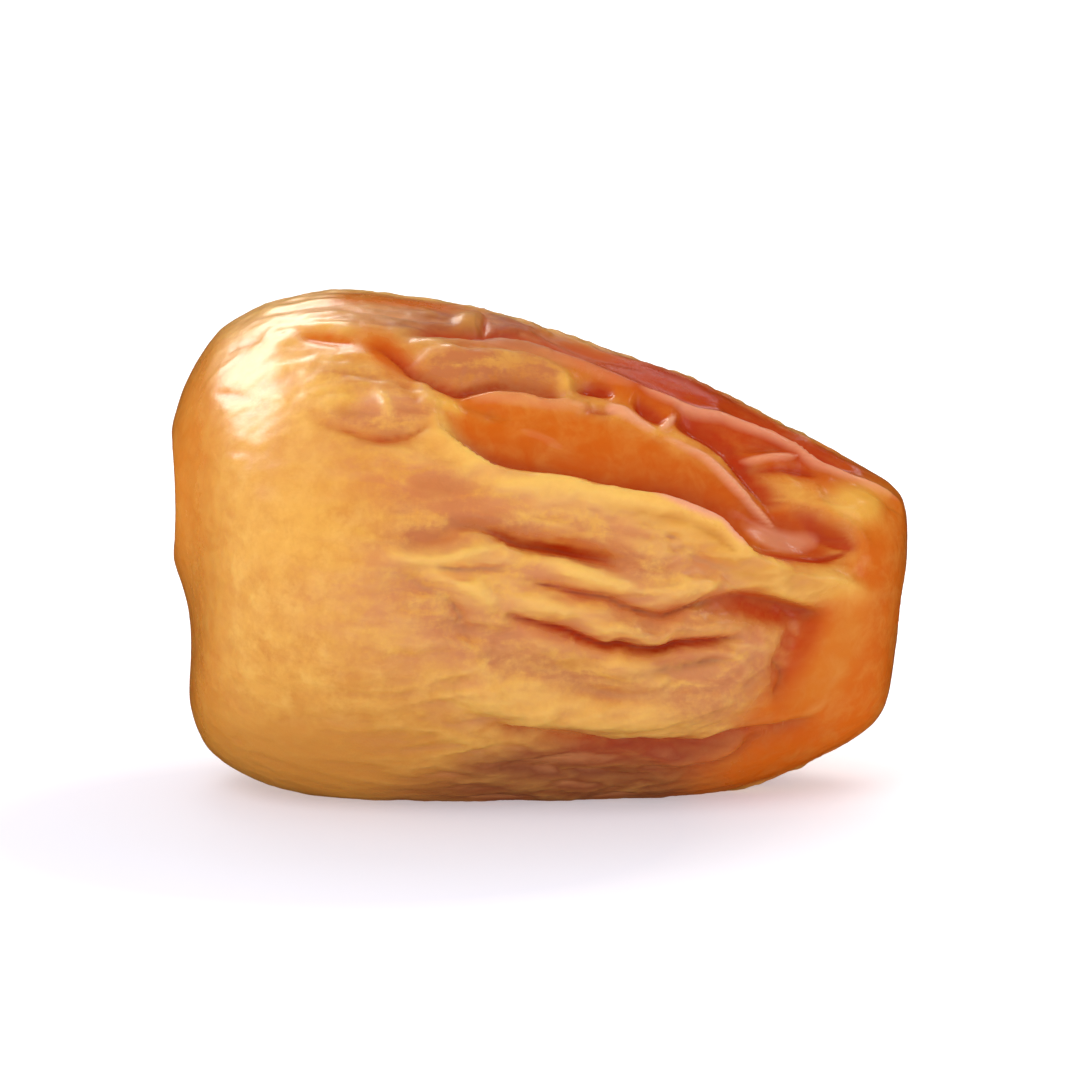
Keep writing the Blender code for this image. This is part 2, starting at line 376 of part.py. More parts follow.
def outward(grid, calyx, tip):
    """Unit normals of the grid, which is closed round and ends in two points."""
    shape = grid.shape[1:]
    rows = np.concatenate([np.broadcast_to(calyx, (1, *shape)), grid,
                           np.broadcast_to(tip, (1, *shape))])
    along = rows[2:] - rows[:-2]
    across = np.roll(grid, -1, axis=1) - np.roll(grid, 1, axis=1)
    normals = np.cross(along, across)
    return normals / np.linalg.norm(normals, axis=2, keepdims=True)


def pressed(flat, stretch, curve, reaches, power):
    """How deep one fold presses each point, mostly from its nearest piece of the line.

    flat holds two coordinates a point, and stretch turns the second one to
    millimetres. The curve holds the same two and the depth.
    """
    margin = 4 * max(reaches)
    low, high = curve.min(axis=0), curve.max(axis=0)
    near = (flat[:, 0] > low[0] - margin) & (flat[:, 0] < high[0] + margin)
    near &= (flat[:, 1] - low[1]) * stretch > -margin
    near &= (flat[:, 1] - high[1]) * stretch < margin
    x, y, scale = flat[near, 0], flat[near, 1], stretch[near]
    blend = np.zeros(len(x))
    weights = np.zeros(len(x))
    for start, end in zip(curve[:-1], curve[1:]):
        run_x = end[0] - start[0]
        run_y = (end[1] - start[1]) * scale
        off_x = x - start[0]
        off_y = (y - start[1]) * scale
        part = np.clip((off_x * run_x + off_y * run_y) / (run_x ** 2 + run_y ** 2), 0, 1)
        away = np.hypot(off_x - part * run_x, off_y - part * run_y)
        first_side = run_x * off_y - run_y * off_x > 0
        reach = np.where(first_side, *reaches)
        depth = (start[2] + (end[2] - start[2]) * part) * np.exp(-(away / reach) ** power)
        weight = (away + NEAREST_BLEND) ** -8
        blend += weight * depth
        weights += weight
    total = np.zeros(len(flat))
    total[near] = blend / weights
    return total


def off_table(points):
    """The points above the table, flat where the date lies on it."""
    lifted = np.maximum(points[:, 2], 0)
    return np.column_stack([points[:, :2], lifted * lifted / (lifted + REST_ROUNDING)])


def front_relief(points):
    """Depth of the folds that are drawn on the front view."""
    upright = np.array([0, math.sin(EYE_ELEVATION), math.cos(EYE_ELEVATION)])
    seen_height = off_table(points) @ upright
    seen_height -= seen_height.min()
    scale = (LENGTH / 100, seen_height.max() / 100, 1)
    flat = np.column_stack([points[:, 0], seen_height])
    stretch = np.ones(len(flat))
    total = np.zeros(len(flat))
    for drawn, above, below, power in FRONT_FOLDS.values():
        curve = smooth_curve(np.asarray(drawn, float) * scale, CURVE_STEPS) - (LENGTH / 2, 0, 0)
        total += pressed(flat, stretch, curve, (above, below), power)
    return total


def drawn_by_lot():
    """Small lengthwise wrinkles, each wandering a little on its way to the tip."""
    lot = random.Random(WRINKLE_SEED)
    wrinkles = []
    for number in range(WRINKLE_COUNT):
        low, high = WRINKLE_ANGLES
        angle = low + (high - low) * (number + lot.uniform(0.2, 0.8)) / WRINKLE_COUNT
        begin = lot.uniform(20, 55)
        finish = lot.uniform(80, 94)
        depth = lot.uniform(*WRINKLE_DEPTH)
        line = []
        for part in (0, 0.25, 0.5, 0.75, 1):
            line.append((begin + (finish - begin) * part, angle + lot.uniform(-4, 4),
                         depth * math.sin(math.pi * part)))
        wrinkles.append((line, lot.uniform(*WRINKLE_REACH), lot.uniform(*WRINKLE_REACH), SHARP))
    return wrinkles


def back_relief(points, angle, radius):
    """Depth of the folds that are drawn round the back, by angle."""
    flat = np.column_stack([points[:, 0], angle])
    scale = (LENGTH / 100, math.pi / 180, 1)
    total = np.zeros(len(flat))
    for drawn, frontward, backward, power in list(BACK_FOLDS.values()) + drawn_by_lot():
        curve = smooth_curve(np.asarray(drawn, float) * scale, CURVE_STEPS) - (LENGTH / 2, 0, 0)
        total += pressed(flat, radius, curve, (backward, frontward), power)
    return total


def end_relief(points, calyx, tip):
    """Depth of the round scar at the calyx end and of the small one at the tip."""
    from_calyx = np.linalg.norm(points - calyx, axis=1)
    dish = 1 - smooth_step(0.55 * CALYX_SCAR_RADIUS, CALYX_SCAR_RADIUS, from_calyx)
    rim = np.exp(-((from_calyx - CALYX_SCAR_RADIUS) / CALYX_RIM_WIDTH) ** 2)
    from_tip = np.linalg.norm(points - tip, axis=1)
    prick = np.exp(-(from_tip / TIP_SCAR_RADIUS) ** 2)
    return CALYX_SCAR_DEPTH * dish - CALYX_RIM_HEIGHT * rim + TIP_SCAR_DEPTH * prick


def centred(points):
    """The points moved over the origin, at the height that they have."""
    points[:, :2] -= (points[:, :2].min(axis=0) + points[:, :2].max(axis=0)) / 2
    return points


def folded_body():
    """Every point of the skin: the grid ring by ring, then calyx and tip."""
    grid, half_depth, angle = bare_body()
    ends = outline_line(UPPER_OUTLINE, np.array([0.0, 1.0]))
    calyx, tip = [np.array([x, 0.0, z]) for x, z in ends]
    normals = outward(grid, calyx, tip).reshape(-1, 3)
    points = grid.reshape(-1, 3)
    round_angle = np.tile(angle, RINGS)
    radius = np.repeat(half_depth, ROUND)
    eye = np.array([0, -math.cos(EYE_ELEVATION), math.sin(EYE_ELEVATION)])
    facing = normals @ eye
    depth = smooth_step(0, 0.22, facing) * front_relief(points)
    depth += smooth_step(-0.1, 0.12, -facing) * back_relief(points, round_angle, radius)
    depth += end_relief(points, calyx, tip)
    skin = points - normals * depth[:, None]
    calyx = calyx + (CALYX_SCAR_DEPTH, 0, 0)
    tip = tip - (TIP_SCAR_DEPTH, 0, 0)
    return centred(off_table(np.vstack([skin, calyx, tip])))


def skin_faces():
    """Quads between neighbouring rings, and a fan of triangles at each end."""
    faces = []
    calyx = RINGS * ROUND
    tip = calyx + 1
    last = (RINGS - 1) * ROUND
    for here in range(ROUND):
        there = (here + 1) % ROUND
        faces.append((calyx, here, there))
        faces.append((tip, last + there, last + here))
        for ring in range(0, last, ROUND):
            faces.append((ring + here, ring + ROUND + here, ring + ROUND + there, ring + there))
    return faces


def skin_material():
    material = bpy.data.materials.new("date_skin")
    material.use_nodes = True
    shader = material.node_tree.nodes["Principled BSDF"]
    shader.inputs["Base Color"].default_value = SKIN_COLOUR
    shader.inputs["Roughness"].default_value = SKIN_ROUGHNESS
    shader.inputs["Metallic"].default_value = 0.0
    return material


def make_date():
    mesh = bpy.data.meshes.new("date")
    mesh.from_pydata((folded_body() / 1000).tolist(), [], skin_faces())
    mesh.materials.append(skin_material())
    mesh.shade_smooth()
    date = bpy.data.objects.new("date", mesh)
    bpy.context.scene.collection.objects.link(date)
    fewer = date.modifiers.new("fewer triangles", "DECIMATE")
    fewer.decimate_type = "COLLAPSE"
    fewer.use_collapse_triangulate = True
    fewer.ratio = TRIANGLES / (2 * RINGS * ROUND)
    return date


def main():
    for leftover in list(bpy.data.objects):
        bpy.data.objects.remove(leftover)
    make_date()


main()
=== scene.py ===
"""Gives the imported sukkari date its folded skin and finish, on a plain stage.

The skin is made at a finer size than the solid, from the same outline and
the same folds, and is fitted to the solid's own box. Each fold also colours
the skin that it presses or lifts. Run it as a script.
"""

import math
import random
from collections import namedtuple

import bpy
import numpy as np
from bpy.props import FloatProperty, FloatVectorProperty, IntProperty, PointerProperty
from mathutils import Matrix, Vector


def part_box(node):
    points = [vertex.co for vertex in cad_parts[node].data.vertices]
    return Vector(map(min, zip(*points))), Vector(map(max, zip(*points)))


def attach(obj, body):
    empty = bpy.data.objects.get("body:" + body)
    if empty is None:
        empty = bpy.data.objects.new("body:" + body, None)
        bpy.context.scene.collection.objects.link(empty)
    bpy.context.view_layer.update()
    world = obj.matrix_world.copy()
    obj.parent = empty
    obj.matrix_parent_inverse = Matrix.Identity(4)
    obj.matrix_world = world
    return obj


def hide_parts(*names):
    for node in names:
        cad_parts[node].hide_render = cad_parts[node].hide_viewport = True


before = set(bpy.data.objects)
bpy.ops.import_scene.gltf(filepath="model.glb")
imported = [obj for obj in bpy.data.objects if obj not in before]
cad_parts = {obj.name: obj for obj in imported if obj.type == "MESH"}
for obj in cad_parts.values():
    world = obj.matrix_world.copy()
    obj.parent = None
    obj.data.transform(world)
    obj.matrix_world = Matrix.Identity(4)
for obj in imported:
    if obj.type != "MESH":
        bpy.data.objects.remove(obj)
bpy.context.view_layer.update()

bl_info = {
    "name": "Sukkari Date",
    "version": (1, 0, 0),
    "blender": (4, 5, 0),
    "location": "3D View > Sidebar > Date",
    "description": "Makes the folded skin of a date with its finish, and a plain stage",
    "category": "Add Mesh",
}

DATE_LOW, DATE_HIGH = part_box("date")
MM = 0.001

# Nominal size that the outline and the folds are drawn at, in millimetres
LENGTH = 38.0
HEIGHT = 25.6
DEPTH = 24.8
REST_SINK = 0.6
REST_ROUNDING = 0.2
ROUND_HEIGHT = HEIGHT + REST_SINK + REST_ROUNDING

# Scars at the two ends, in millimetres, and the flat share of the first one's radius
CALYX_SCAR_FLAT = 0.55
CALYX_SCAR_RADIUS = 3.4
CALYX_SCAR_DEPTH = 0.4
CALYX_RIM_WIDTH = 0.9
CALYX_RIM_HEIGHT = 0.1
TIP_SCAR_RADIUS = 1.1
TIP_SCAR_DEPTH = 0.45

CURVE_STEPS = 8

# How far the two ends round off in depth, as a share of depth squared
CALYX_ROUNDING = 0.02
TIP_ROUNDING = 0.045

# Shares of the length at which the rounding of the two ends is over and begins
CALYX_ROUND_TO = 0.4
TIP_ROUND_FROM = 0.7

# How much closer the rings stand in the middle, and the points of a ring in front
RING_CROWDING = 0.05
FRONT_CROWDING = 0.2

# Outline in percent of the length from the calyx end, and of the height
UPPER_OUTLINE = [
    (0, 60.8), (0.5, 69.1), (1.4, 78), (3.4, 85.1), (6.8, 92.2), (11.3, 96.4), (16, 98.8),
    (25, 100), (39.2, 97.3), (47.6, 94.4), (58, 89.4), (70.5, 83.2), (82.6, 74.6), (94.2, 65.6),
    (98.2, 61.8), (99.8, 57.4), (100, 48), (99.6, 40),
]
LOWER_OUTLINE = [
    (0, 60.8), (0.3, 54), (1.3, 46), (2.7, 38), (3.0, 30), (2.8, 20), (4.5, 12.4), (7.4, 8),
    (11.3, 4.9), (16, 2.4), (25, 0), (45, -0.6), (62, 0), (73.7, 1.6), (79.2, 3.4), (85, 6.6),
    (89.4, 9.7), (93.7, 13.2), (96.4, 17), (97.7, 22), (98.6, 31), (99.6, 40),
]

# A fold is a line of (percent of length, place across it, depth in
# millimetres, negative where the skin stands up), how far it reaches to the
# two sides of the line in millimetres, how sharp it is, and how strongly it
# takes which tint. Red and brown tints of grooves and hollows are partly painted shade, and pale
# and peach tints of crests partly painted highlight
Fold = namedtuple("Fold", "line first second power tint strength", defaults=("", 0.0))
SHARP = 1.15
ROUNDED = 2.0
# Distance from a line, in millimetres, over which its pieces run into each other, how
# fast a further piece loses its say, and how many reaches away a fold is no longer felt
NEAREST_BLEND = 0.05
NEAREST_POWER = 8
FELT_REACHES = 4


def blush(line, first, second, tint, strength):
    """A tint with no depth of its own: its depths say only how strong it is along the line."""
    return Fold(line, first, second, ROUNDED, tint, strength)


# Front folds, whose place across is in percent of the height, as seen from
# the front. The first side is above the line
FRONT_FOLDS = {
    "panel": Fold([(36.5, 76, 0), (40, 71, 0.5), (43.8, 67.8, 0.8), (47.8, 66.2, 1.0),
        (51.9, 65.5, 1.05), (55.9, 64.6, 1.1), (60.1, 63.2, 1.15), (64.4, 62.5, 1.2),
        (67.7, 61.7, 1.25), (70.5, 60.2, 1.3), (73, 58.6, 1.3), (75.2, 56.6, 1.25),
        (76.8, 54, 1.15), (78.3, 51.8, 1.05), (80.5, 50.2, 0.8), (83, 49.6, 0.6), (86, 49.2, 0.4),
        (90, 49.4, 0)], 3.0, 0.42, ROUNDED, "amber", 1.0),
    "panel groove": Fold([(27.5, 89, 0.1), (29.5, 88.4, 0.4), (31.5, 86.4, 0.55),
        (33.5, 83.9, 0.7), (35.5, 82.7, 0.75), (37.6, 81.2, 0.75), (39.4, 80.2, 0.7),
        (41.6, 80.8, 0.8), (44, 81.5, 0.85), (46.4, 81.6, 0.85), (48.6, 81.2, 0.85),
        (50.8, 80.6, 0.8), (52.6, 80.1, 0.5), (54, 79.6, 0)], 0.55, 0.3, SHARP, "red", 1.0),
    "groove branch": Fold([(54.5, 81.2, 0), (56, 80.9, 0.35), (57.5, 80.9, 0.55),
        (59.3, 80.4, 0.5), (60.5, 79.4, 0)], 0.3, 0.3, SHARP, "red", 1.0),
    "branch web": Fold([(52, 83.6, 0), (53, 82.6, -0.2), (53.8, 81.4, -0.25),
        (54.6, 80.2, 0)], 0.35, 0.35, ROUNDED, "golden", 0.8),
    "branch shade": Fold([(55, 76.4, 0), (57, 76.7, 0.2), (59.4, 76.5, 0.25),
        (60.6, 75.8, 0)], 0.25, 0.25, SHARP, "red", 0.6),
    "panel line": Fold([(39, 77.6, 0), (40.6, 77.2, 0.2), (43, 76.8, 0.28), (45, 75.8, 0.28),
        (47.6, 75.2, 0)], 0.2, 0.25, SHARP, "brown", 0.6),
    "panel streak": Fold([(46.4, 73.4, 0), (48.6, 73.2, -0.1), (51, 72.1, -0.14),
        (53, 70.8, -0.12), (55.4, 69.2, 0)], 0.3, 0.3, ROUNDED, "peach", 0.3),
    "panel roll": Fold([(39.6, 77.6, 0), (41.4, 78.8, -0.2), (44, 79.6, -0.35), (48, 79.2, -0.4),
        (52, 78.4, -0.35), (56, 77.6, -0.25), (60, 75.6, 0)], 0.28, 0.6, ROUNDED, "peach", 0.4),
    # Painted shade: the red line where the panel meets the lip stands for the shade at the lip's
    # foot
    "panel rim": Fold([(36.2, 74.6, 0), (37.4, 72.8, 0.2), (39, 71, 0.3), (41, 69.4, 0.3),
        (43, 67.8, 0.3), (45, 66.6, 0.3), (48, 65.6, 0.25), (52, 64.8, 0.25), (56, 63.8, 0.25),
        (60, 62.4, 0.25), (64, 61.6, 0.3), (68, 60.6, 0.35), (71, 59, 0.35), (74, 57.2, 0.35),
        (76, 54.6, 0.35), (77.8, 51.8, 0.25), (80, 50, 0)], 0.4, 0.18, SHARP, "red", 0.9),
    "pool": Fold([(78, 60.5, 0), (81, 57, 0.5), (84, 53.8, 0.8), (87, 51.2, 0.85), (89.8, 50, 0.7),
        (92, 49.8, 0)], 0.9, 1.1, ROUNDED, "red", 0.6),
    "pool wall": Fold([(83.5, 58.2, 0), (86.5, 56, 0.25), (88.5, 53.6, 0.4), (90.5, 51.6, 0.45),
        (91.8, 49.8, 0.35), (91.4, 47.8, 0)], 0.5, 0.5, ROUNDED, "red", 1.0),
    "pool line": Fold([(77.5, 50.8, 0), (80, 48.9, 0.3), (83, 47.9, 0.4), (86, 47.4, 0.4),
        (89, 47.4, 0.4), (91.5, 48.6, 0.3), (92.6, 50.6, 0)], 0.3, 0.22, SHARP, "red", 1.0),
    "pool web": Fold([(66, 72.6, 0), (67.6, 71.8, -0.2), (70, 70.2, -0.3), (72.6, 68.4, -0.35),
        (75, 65.8, -0.45), (77, 63, -0.5), (79.2, 59.9, -0.45), (80.8, 57.7, -0.4),
        (82.3, 55.5, -0.3), (84.5, 52.5, 0)], 0.2, 0.2, SHARP, "peach", 0.8),
    "panel crest": Fold([(58.6, 78, 0), (60, 77.2, -0.2), (61.5, 76.4, -0.28), (63, 75.4, -0.25),
        (65, 73.8, -0.2), (66.4, 72.8, 0)], 0.25, 0.3, ROUNDED, "peach", 0.7),
    "pool rim": Fold([(86.6, 63.5, 0), (87.4, 61, -0.2), (88.2, 58, -0.3), (89.8, 55.4, -0.35),
        (92, 53.4, -0.35), (93.8, 51, -0.3), (94, 48, 0)], 0.3, 0.35, SHARP, "amber", 0.5),
    "tip swell": Fold([(88, 58.6, 0), (91, 57.8, -0.35), (94, 57.2, -0.4),
        (97, 56.4, 0)], 1.1, 0.9, ROUNDED, "golden", 0.85),
    "tip crease": Fold([(92, 61.4, 0), (94, 60.4, 0.15), (96, 59, 0.2), (98, 57.4, 0.15),
        (99, 56, 0)], 0.2, 0.2, SHARP, "amber", 0.8),
    "lip": Fold([(34, 78, 0), (36, 76.6, -0.2), (38.5, 71, -0.35), (41, 68, -0.42),
        (44, 65.2, -0.5), (48, 63.4, -0.5), (52, 62.6, -0.5), (56, 61.6, -0.5), (60, 60.3, -0.5),
        (64, 59.3, -0.5), (68, 57.7, -0.55), (71, 55.9, -0.6), (73.6, 54.2, -0.6),
        (75.4, 51.8, -0.6), (77.6, 48.9, -0.62), (80, 46.6, -0.62), (83, 44.7, -0.6),
        (86.4, 43.4, -0.5), (90.2, 42.6, -0.4), (93.1, 41, -0.2),
        (96, 39, 0)], 0.42, 0.9, ROUNDED, "pale", 0.85),
    # Painted highlight: the peach of the lip's raised edge stands for its glint
    "lip edge": Fold([(64, 60.2, 0), (66, 59.4, -0.12), (68, 58.4, -0.2), (70, 57.2, -0.25),
        (72, 56, -0.25), (74, 55, -0.22), (75.3, 53, -0.22), (76.6, 50.8, -0.15),
        (78, 48.8, 0)], 0.2, 0.28, ROUNDED, "peach", 1.0),
    "lip line": Fold([(62.5, 56.8, 0), (65, 56, 0.2), (68, 55, 0.25), (71, 53.6, 0.3),
        (73.2, 52, 0.3), (75, 49.8, 0.25), (77, 47.4, 0)], 0.22, 0.25, SHARP, "honey", 1.0),
    # Painted shade: the tan under the lip stands for the shade below it
    "under lip": Fold([(56, 57.4, 0), (61, 56, 0.2), (66, 53.6, 0.35), (70.5, 48.8, 0.45),
        (75, 44.8, 0.35), (80, 42, 0)], 0.35, 0.8, ROUNDED, "tan", 0.7),
    "small cell": Fold([(62.6, 79, 0), (63.8, 77.8, 0.4), (65.2, 76.6, 0.5), (66.8, 75.2, 0.3),
        (67.4, 74.4, 0)], 0.4, 0.35, ROUNDED, "red", 1.0),
    "red cell": Fold([(68, 76.8, 0), (69.5, 75.2, 0.45), (71.5, 73.8, 0.7), (74, 72, 0.7),
        (76.2, 69.4, 0.65), (78, 66.4, 0.6), (80, 63, 0.55), (82, 60, 0.45),
        (84, 57.4, 0)], 0.7, 0.4, ROUNDED, "red", 1.0),
    "cell web": Fold([(69.2, 76.6, 0), (67.7, 74.7, -0.28),
        (66.2, 72.7, 0)], 0.2, 0.2, SHARP, "peach", 0.9),
    "upper ridge": Fold([(62, 81.2, 0), (65, 79.8, -0.3), (68.5, 77.9, -0.4), (72, 76.4, -0.45),
        (75, 75.3, -0.45), (78, 73.3, -0.5), (81, 71.6, -0.5), (84, 69.6, -0.5),
        (86.4, 66.8, -0.5), (89, 64.7, -0.45), (92, 62.7, -0.4), (95, 61, -0.35), (98, 59, -0.2),
        (99.4, 57, 0)], 0.2, 0.22, SHARP, "peach", 0.65),
    "rim valley": Fold([(74.5, 77.4, 0), (77, 76, 0.3), (80, 74.3, 0.4), (83, 72.4, 0.45),
        (86, 69.8, 0.45), (89, 67.3, 0.4), (92, 65.2, 0.2),
        (93.5, 64.2, 0)], 0.3, 0.35, SHARP, "red", 1.0),
    "ridge valley": Fold([(75.5, 70.7, 0), (78, 70.1, 0.25), (80.5, 69.3, 0.3), (83, 68.9, 0.2),
        (84.5, 68.4, 0)], 0.22, 0.22, SHARP, "red", 0.7),
    "cell shade": Fold([(77.5, 67, 0), (80, 66.1, 0.25), (83, 65.6, 0.3), (85.5, 65, 0.4),
        (87, 64.3, 0.3), (88.5, 63.2, 0)], 0.28, 0.3, SHARP, "red", 0.9),
    "second ridge": Fold([(77, 68.7, 0), (79.5, 67.8, -0.25), (82, 67.8, -0.3), (84, 67.4, -0.2),
        (85.4, 66.8, 0)], 0.2, 0.22, SHARP, "peach", 0.6),
    "golden roll": Fold([(33.5, 86.8, 0), (36, 87.3, -0.3), (41.8, 87, -0.4), (47.8, 86, -0.42),
        (52.4, 83.8, -0.32), (56, 81, 0)], 0.4, 0.7, ROUNDED, "golden", 0.4),
    "roll line": Fold([(36, 88.9, 0), (41, 88.4, 0.25), (47, 87.4, 0.3), (51.5, 85.6, 0.3),
        (55, 83.4, 0)], 0.2, 0.2, SHARP, "red", 0.7),
    "sheen roll": Fold([(33, 90.2, 0), (37, 90, -0.2), (41, 89.6, -0.3), (46, 88.9, -0.4),
        (50, 87.4, -0.45), (54, 85.6, -0.45), (58, 83.6, -0.4), (62, 81.4, -0.3),
        (65, 79.8, 0)], 0.3, 0.45, ROUNDED, "peach", 0.35),
    "shoulder crease": Fold([(31, 90.8, 0), (35.3, 91.4, 0.35), (38.5, 91.1, 0.5), (41.8, 91, 0.6),
        (45.8, 91.2, 0.6), (49, 90.6, 0.5), (52, 89.4, 0.4), (56, 87.8, 0.3),
        (60, 85.6, 0)], 0.35, 0.3, SHARP, "red", 0.9),
    "top crease": Fold([(49, 93, 0), (52, 91.4, 0.3), (56, 89.2, 0.4), (60, 87, 0.35),
        (65, 84.2, 0)], 0.35, 0.35, SHARP, "brown", 0.9),
    # Painted highlight: the golden of the knob stands for a small glint on it
    "top knob": Fold([(38.6, 93.8, 0), (40, 94.1, -0.25), (41.8, 94, -0.28),
        (43, 93.6, 0)], 0.5, 0.45, ROUNDED, "golden", 0.4),
    "knob crease": Fold([(43.2, 96, 0), (43, 94.4, 0.25), (42.9, 92.6, 0.25),
        (43.2, 91.4, 0)], 0.2, 0.25, SHARP, "red", 0.7),
    "upper groove": Fold([(17, 91.2, 0), (19.5, 90.7, 0.22), (22, 90.3, 0.3), (24.5, 89.8, 0.22),
        (27, 89.4, 0)], 0.4, 0.35, ROUNDED, "amber", 1.0),
    "calyx pleat": Fold([(22, 84.2, 0), (25, 83.6, 0.12), (28, 82.2, 0.15),
        (31, 80.4, 0)], 0.35, 0.35, ROUNDED, "honey", 0.8),
    "window wrinkle": Fold([(6.4, 79.4, 0), (8.5, 79.3, 0.1), (11, 78.6, 0.1),
        (13, 78, 0)], 0.3, 0.25, SHARP, "amber", 0.5),
    "window hook": Fold([(8.4, 87.6, 0), (9.8, 88.8, 0.1), (11.8, 89.6, 0.08),
        (13.5, 89.8, 0)], 0.25, 0.25, SHARP, "honey", 0.8),
    "bump wrinkle": Fold([(29.5, 83.2, 0), (32, 80.8, 0.14), (33.6, 78.4, 0.12),
        (34.4, 76, 0)], 0.22, 0.22, SHARP, "red", 0.4),
    "bump streak": Fold([(22, 77.4, 0), (24.4, 76, 0.12), (27, 75.4, 0.1),
        (29.5, 75.4, 0)], 0.22, 0.3, SHARP, "honey", 0.9),
    "bump crest": Fold([(28, 80.4, 0), (29.4, 78, -0.14), (30.2, 75.4, -0.12),
        (30.6, 73.2, 0)], 0.3, 0.3, ROUNDED, "pale", 0.7),
    "calyx crease": Fold([(19.5, 74.4, 0), (22, 73.4, 0.12), (24.5, 72.4, 0.22), (27, 71.2, 0.32),
        (30, 70.8, 0.36), (33, 71.4, 0.32), (35, 72.6, 0.2),
        (36.5, 74, 0)], 0.2, 0.3, SHARP, "red", 0.8),
    "calyx bump": Fold([(25, 78, 0), (29, 77, -0.3), (32, 76.2, -0.38), (35, 75.8, -0.3),
        (37, 76, 0)], 1.1, 0.8, ROUNDED, "tan", 1.0),
    "bump patch": Fold([(33.6, 77.6, 0), (36, 77.4, -0.15), (38.6, 77, -0.15),
        (40.6, 75.4, 0)], 0.3, 0.3, ROUNDED, "golden", 0.9),
    "dimple": Fold([(37, 53.6, 0), (39.5, 54, 0.25), (43.1, 52.9, 0.5), (45.6, 51.5, 0.75),
        (47.8, 50, 0.9), (51.6, 49.2, 0.95), (55.4, 48.1, 0.9), (58.7, 47.2, 0.7), (60.9, 46, 0.3),
        (62.4, 45.2, 0)], 0.5, 0.28, ROUNDED, "red", 1.0),
    "dimple tail": Fold([(32.6, 50.6, 0), (34.8, 51.1, 0.2), (37.8, 51.8, 0.28),
        (41.6, 53.3, 0.1)], 0.4, 0.4, ROUNDED, "red", 0.45),
    "dimple lip": Fold([(50.5, 47.2, 0), (53.9, 45.3, -0.35), (56.6, 44.5, -0.42),
        (59.2, 43.5, -0.42), (61.2, 42.6, -0.35),
        (64, 41.6, 0)], 0.32, 0.45, ROUNDED, "pale", 0.85),
    "middle crest": Fold([(62, 43, 0), (66, 41.4, -0.3), (70, 42, -0.38), (73, 43, -0.25),
        (76.5, 43.4, 0)], 0.45, 0.45, ROUNDED, "pale", 0.35),
    "brow": Fold([(29.5, 48.6, 0), (31.5, 48.2, -0.2), (34, 47.5, -0.3), (37.1, 47.3, -0.32),
        (40.1, 48.2, -0.38), (42.8, 48.7, -0.32),
        (45.4, 47.3, 0)], 0.35, 0.35, ROUNDED, "pale", 0.75),
    "brow groove": Fold([(33, 46, 0), (36, 45.8, 0.2), (40, 45.4, 0.32), (43.5, 45, 0.32),
        (47, 44.4, 0)], 0.25, 0.3, SHARP, "tan", 0.9),
    "lower brow": Fold([(34.5, 45.4, 0), (37.1, 44.3, -0.25), (40.6, 42.5, -0.35),
        (42.8, 40.6, -0.32), (44.8, 37.6, 0)], 0.35, 0.4, ROUNDED, "pale", 0.75),
    "cheek groove": Fold([(28.6, 44.6, 0), (31, 44.2, 0.28), (33, 43.5, 0.35), (35.3, 41.4, 0.4),
        (37.8, 40, 0.4), (39.3, 37.6, 0.38), (40.6, 33.3, 0.28),
        (42.1, 28.9, 0)], 0.35, 0.8, SHARP, "tan", 1.0),
    "cheek hollow": Fold([(35, 39.6, 0), (39, 36.5, 0.25), (42, 33.5, 0.38), (46, 31, 0.35),
        (50, 28.5, 0)], 1.0, 1.1, ROUNDED, "tan", 1.0),
    "long crease": Fold([(47.5, 43.2, 0), (50.6, 42.4, 0.38), (53.6, 41.3, 0.5),
        (56.6, 40.2, 0.55), (59.2, 39.8, 0.55), (61.7, 38, 0.6), (66.3, 36.2, 0.6),
        (69.3, 37.6, 0.55), (72.1, 38.9, 0.3), (74, 39.6, 0)], 0.28, 0.28, SHARP, "red", 0.8),
    "middle fold": Fold([(45, 41, 0), (49, 39.4, -0.3), (54, 37.6, -0.4), (58, 36.8, -0.35),
        (61.4, 35.6, 0)], 0.35, 0.4, ROUNDED, "pale", 0.6),
    "pink ridge": Fold([(55, 35.4, 0), (58, 34.6, -0.38), (61.8, 33.8, -0.48), (65.5, 32.4, -0.5),
        (68.6, 34.2, -0.45), (70.6, 33.8, -0.42), (75.6, 34.4, -0.38),
        (79, 33.2, 0)], 0.35, 0.35, ROUNDED, "pale", 0.45),
    "strong crease": Fold([(45.5, 36.6, 0), (47.6, 35.8, 0.45), (52.4, 34, 0.65),
        (54.6, 32.9, 0.7), (56.6, 31.4, 0.75), (59.2, 30.3, 0.8), (61, 30.7, 0.75),
        (63.5, 29.6, 0.8), (66.3, 29.6, 0.8), (68.6, 30.7, 0.75), (72.1, 31.1, 0.65),
        (75.6, 31.8, 0.45), (78, 32.4, 0)], 0.26, 0.45, SHARP, "red", 1.0),
    "ripple": Fold([(60, 25.8, 0), (64, 25.2, 0.2), (68, 25.8, 0.28), (71, 26.7, 0.32),
        (73, 27.1, 0.32), (76, 27.8, 0)], 0.28, 0.28, SHARP, "brown", 0.5),
    # Painted shadow: the red of the recess stands for the shade in it
    "recess": Fold([(70.5, 37.8, 0), (72.1, 38.5, 0.4), (74.3, 39.6, 0.6), (77.1, 40.2, 0.8),
        (80.1, 39.8, 0.95), (83.1, 38.8, 1.0), (86.4, 37.2, 0.7),
        (88.8, 35.4, 0)], 0.28, 1.7, ROUNDED, "red", 0.95),
    "recess tail": Fold([(87, 37, 0.2), (85.6, 32, 0.35), (83.4, 27, 0.3), (82.2, 21.2, 0.15),
        (81, 18, 0)], 1.0, 1.1, ROUNDED, "red", 0.7),
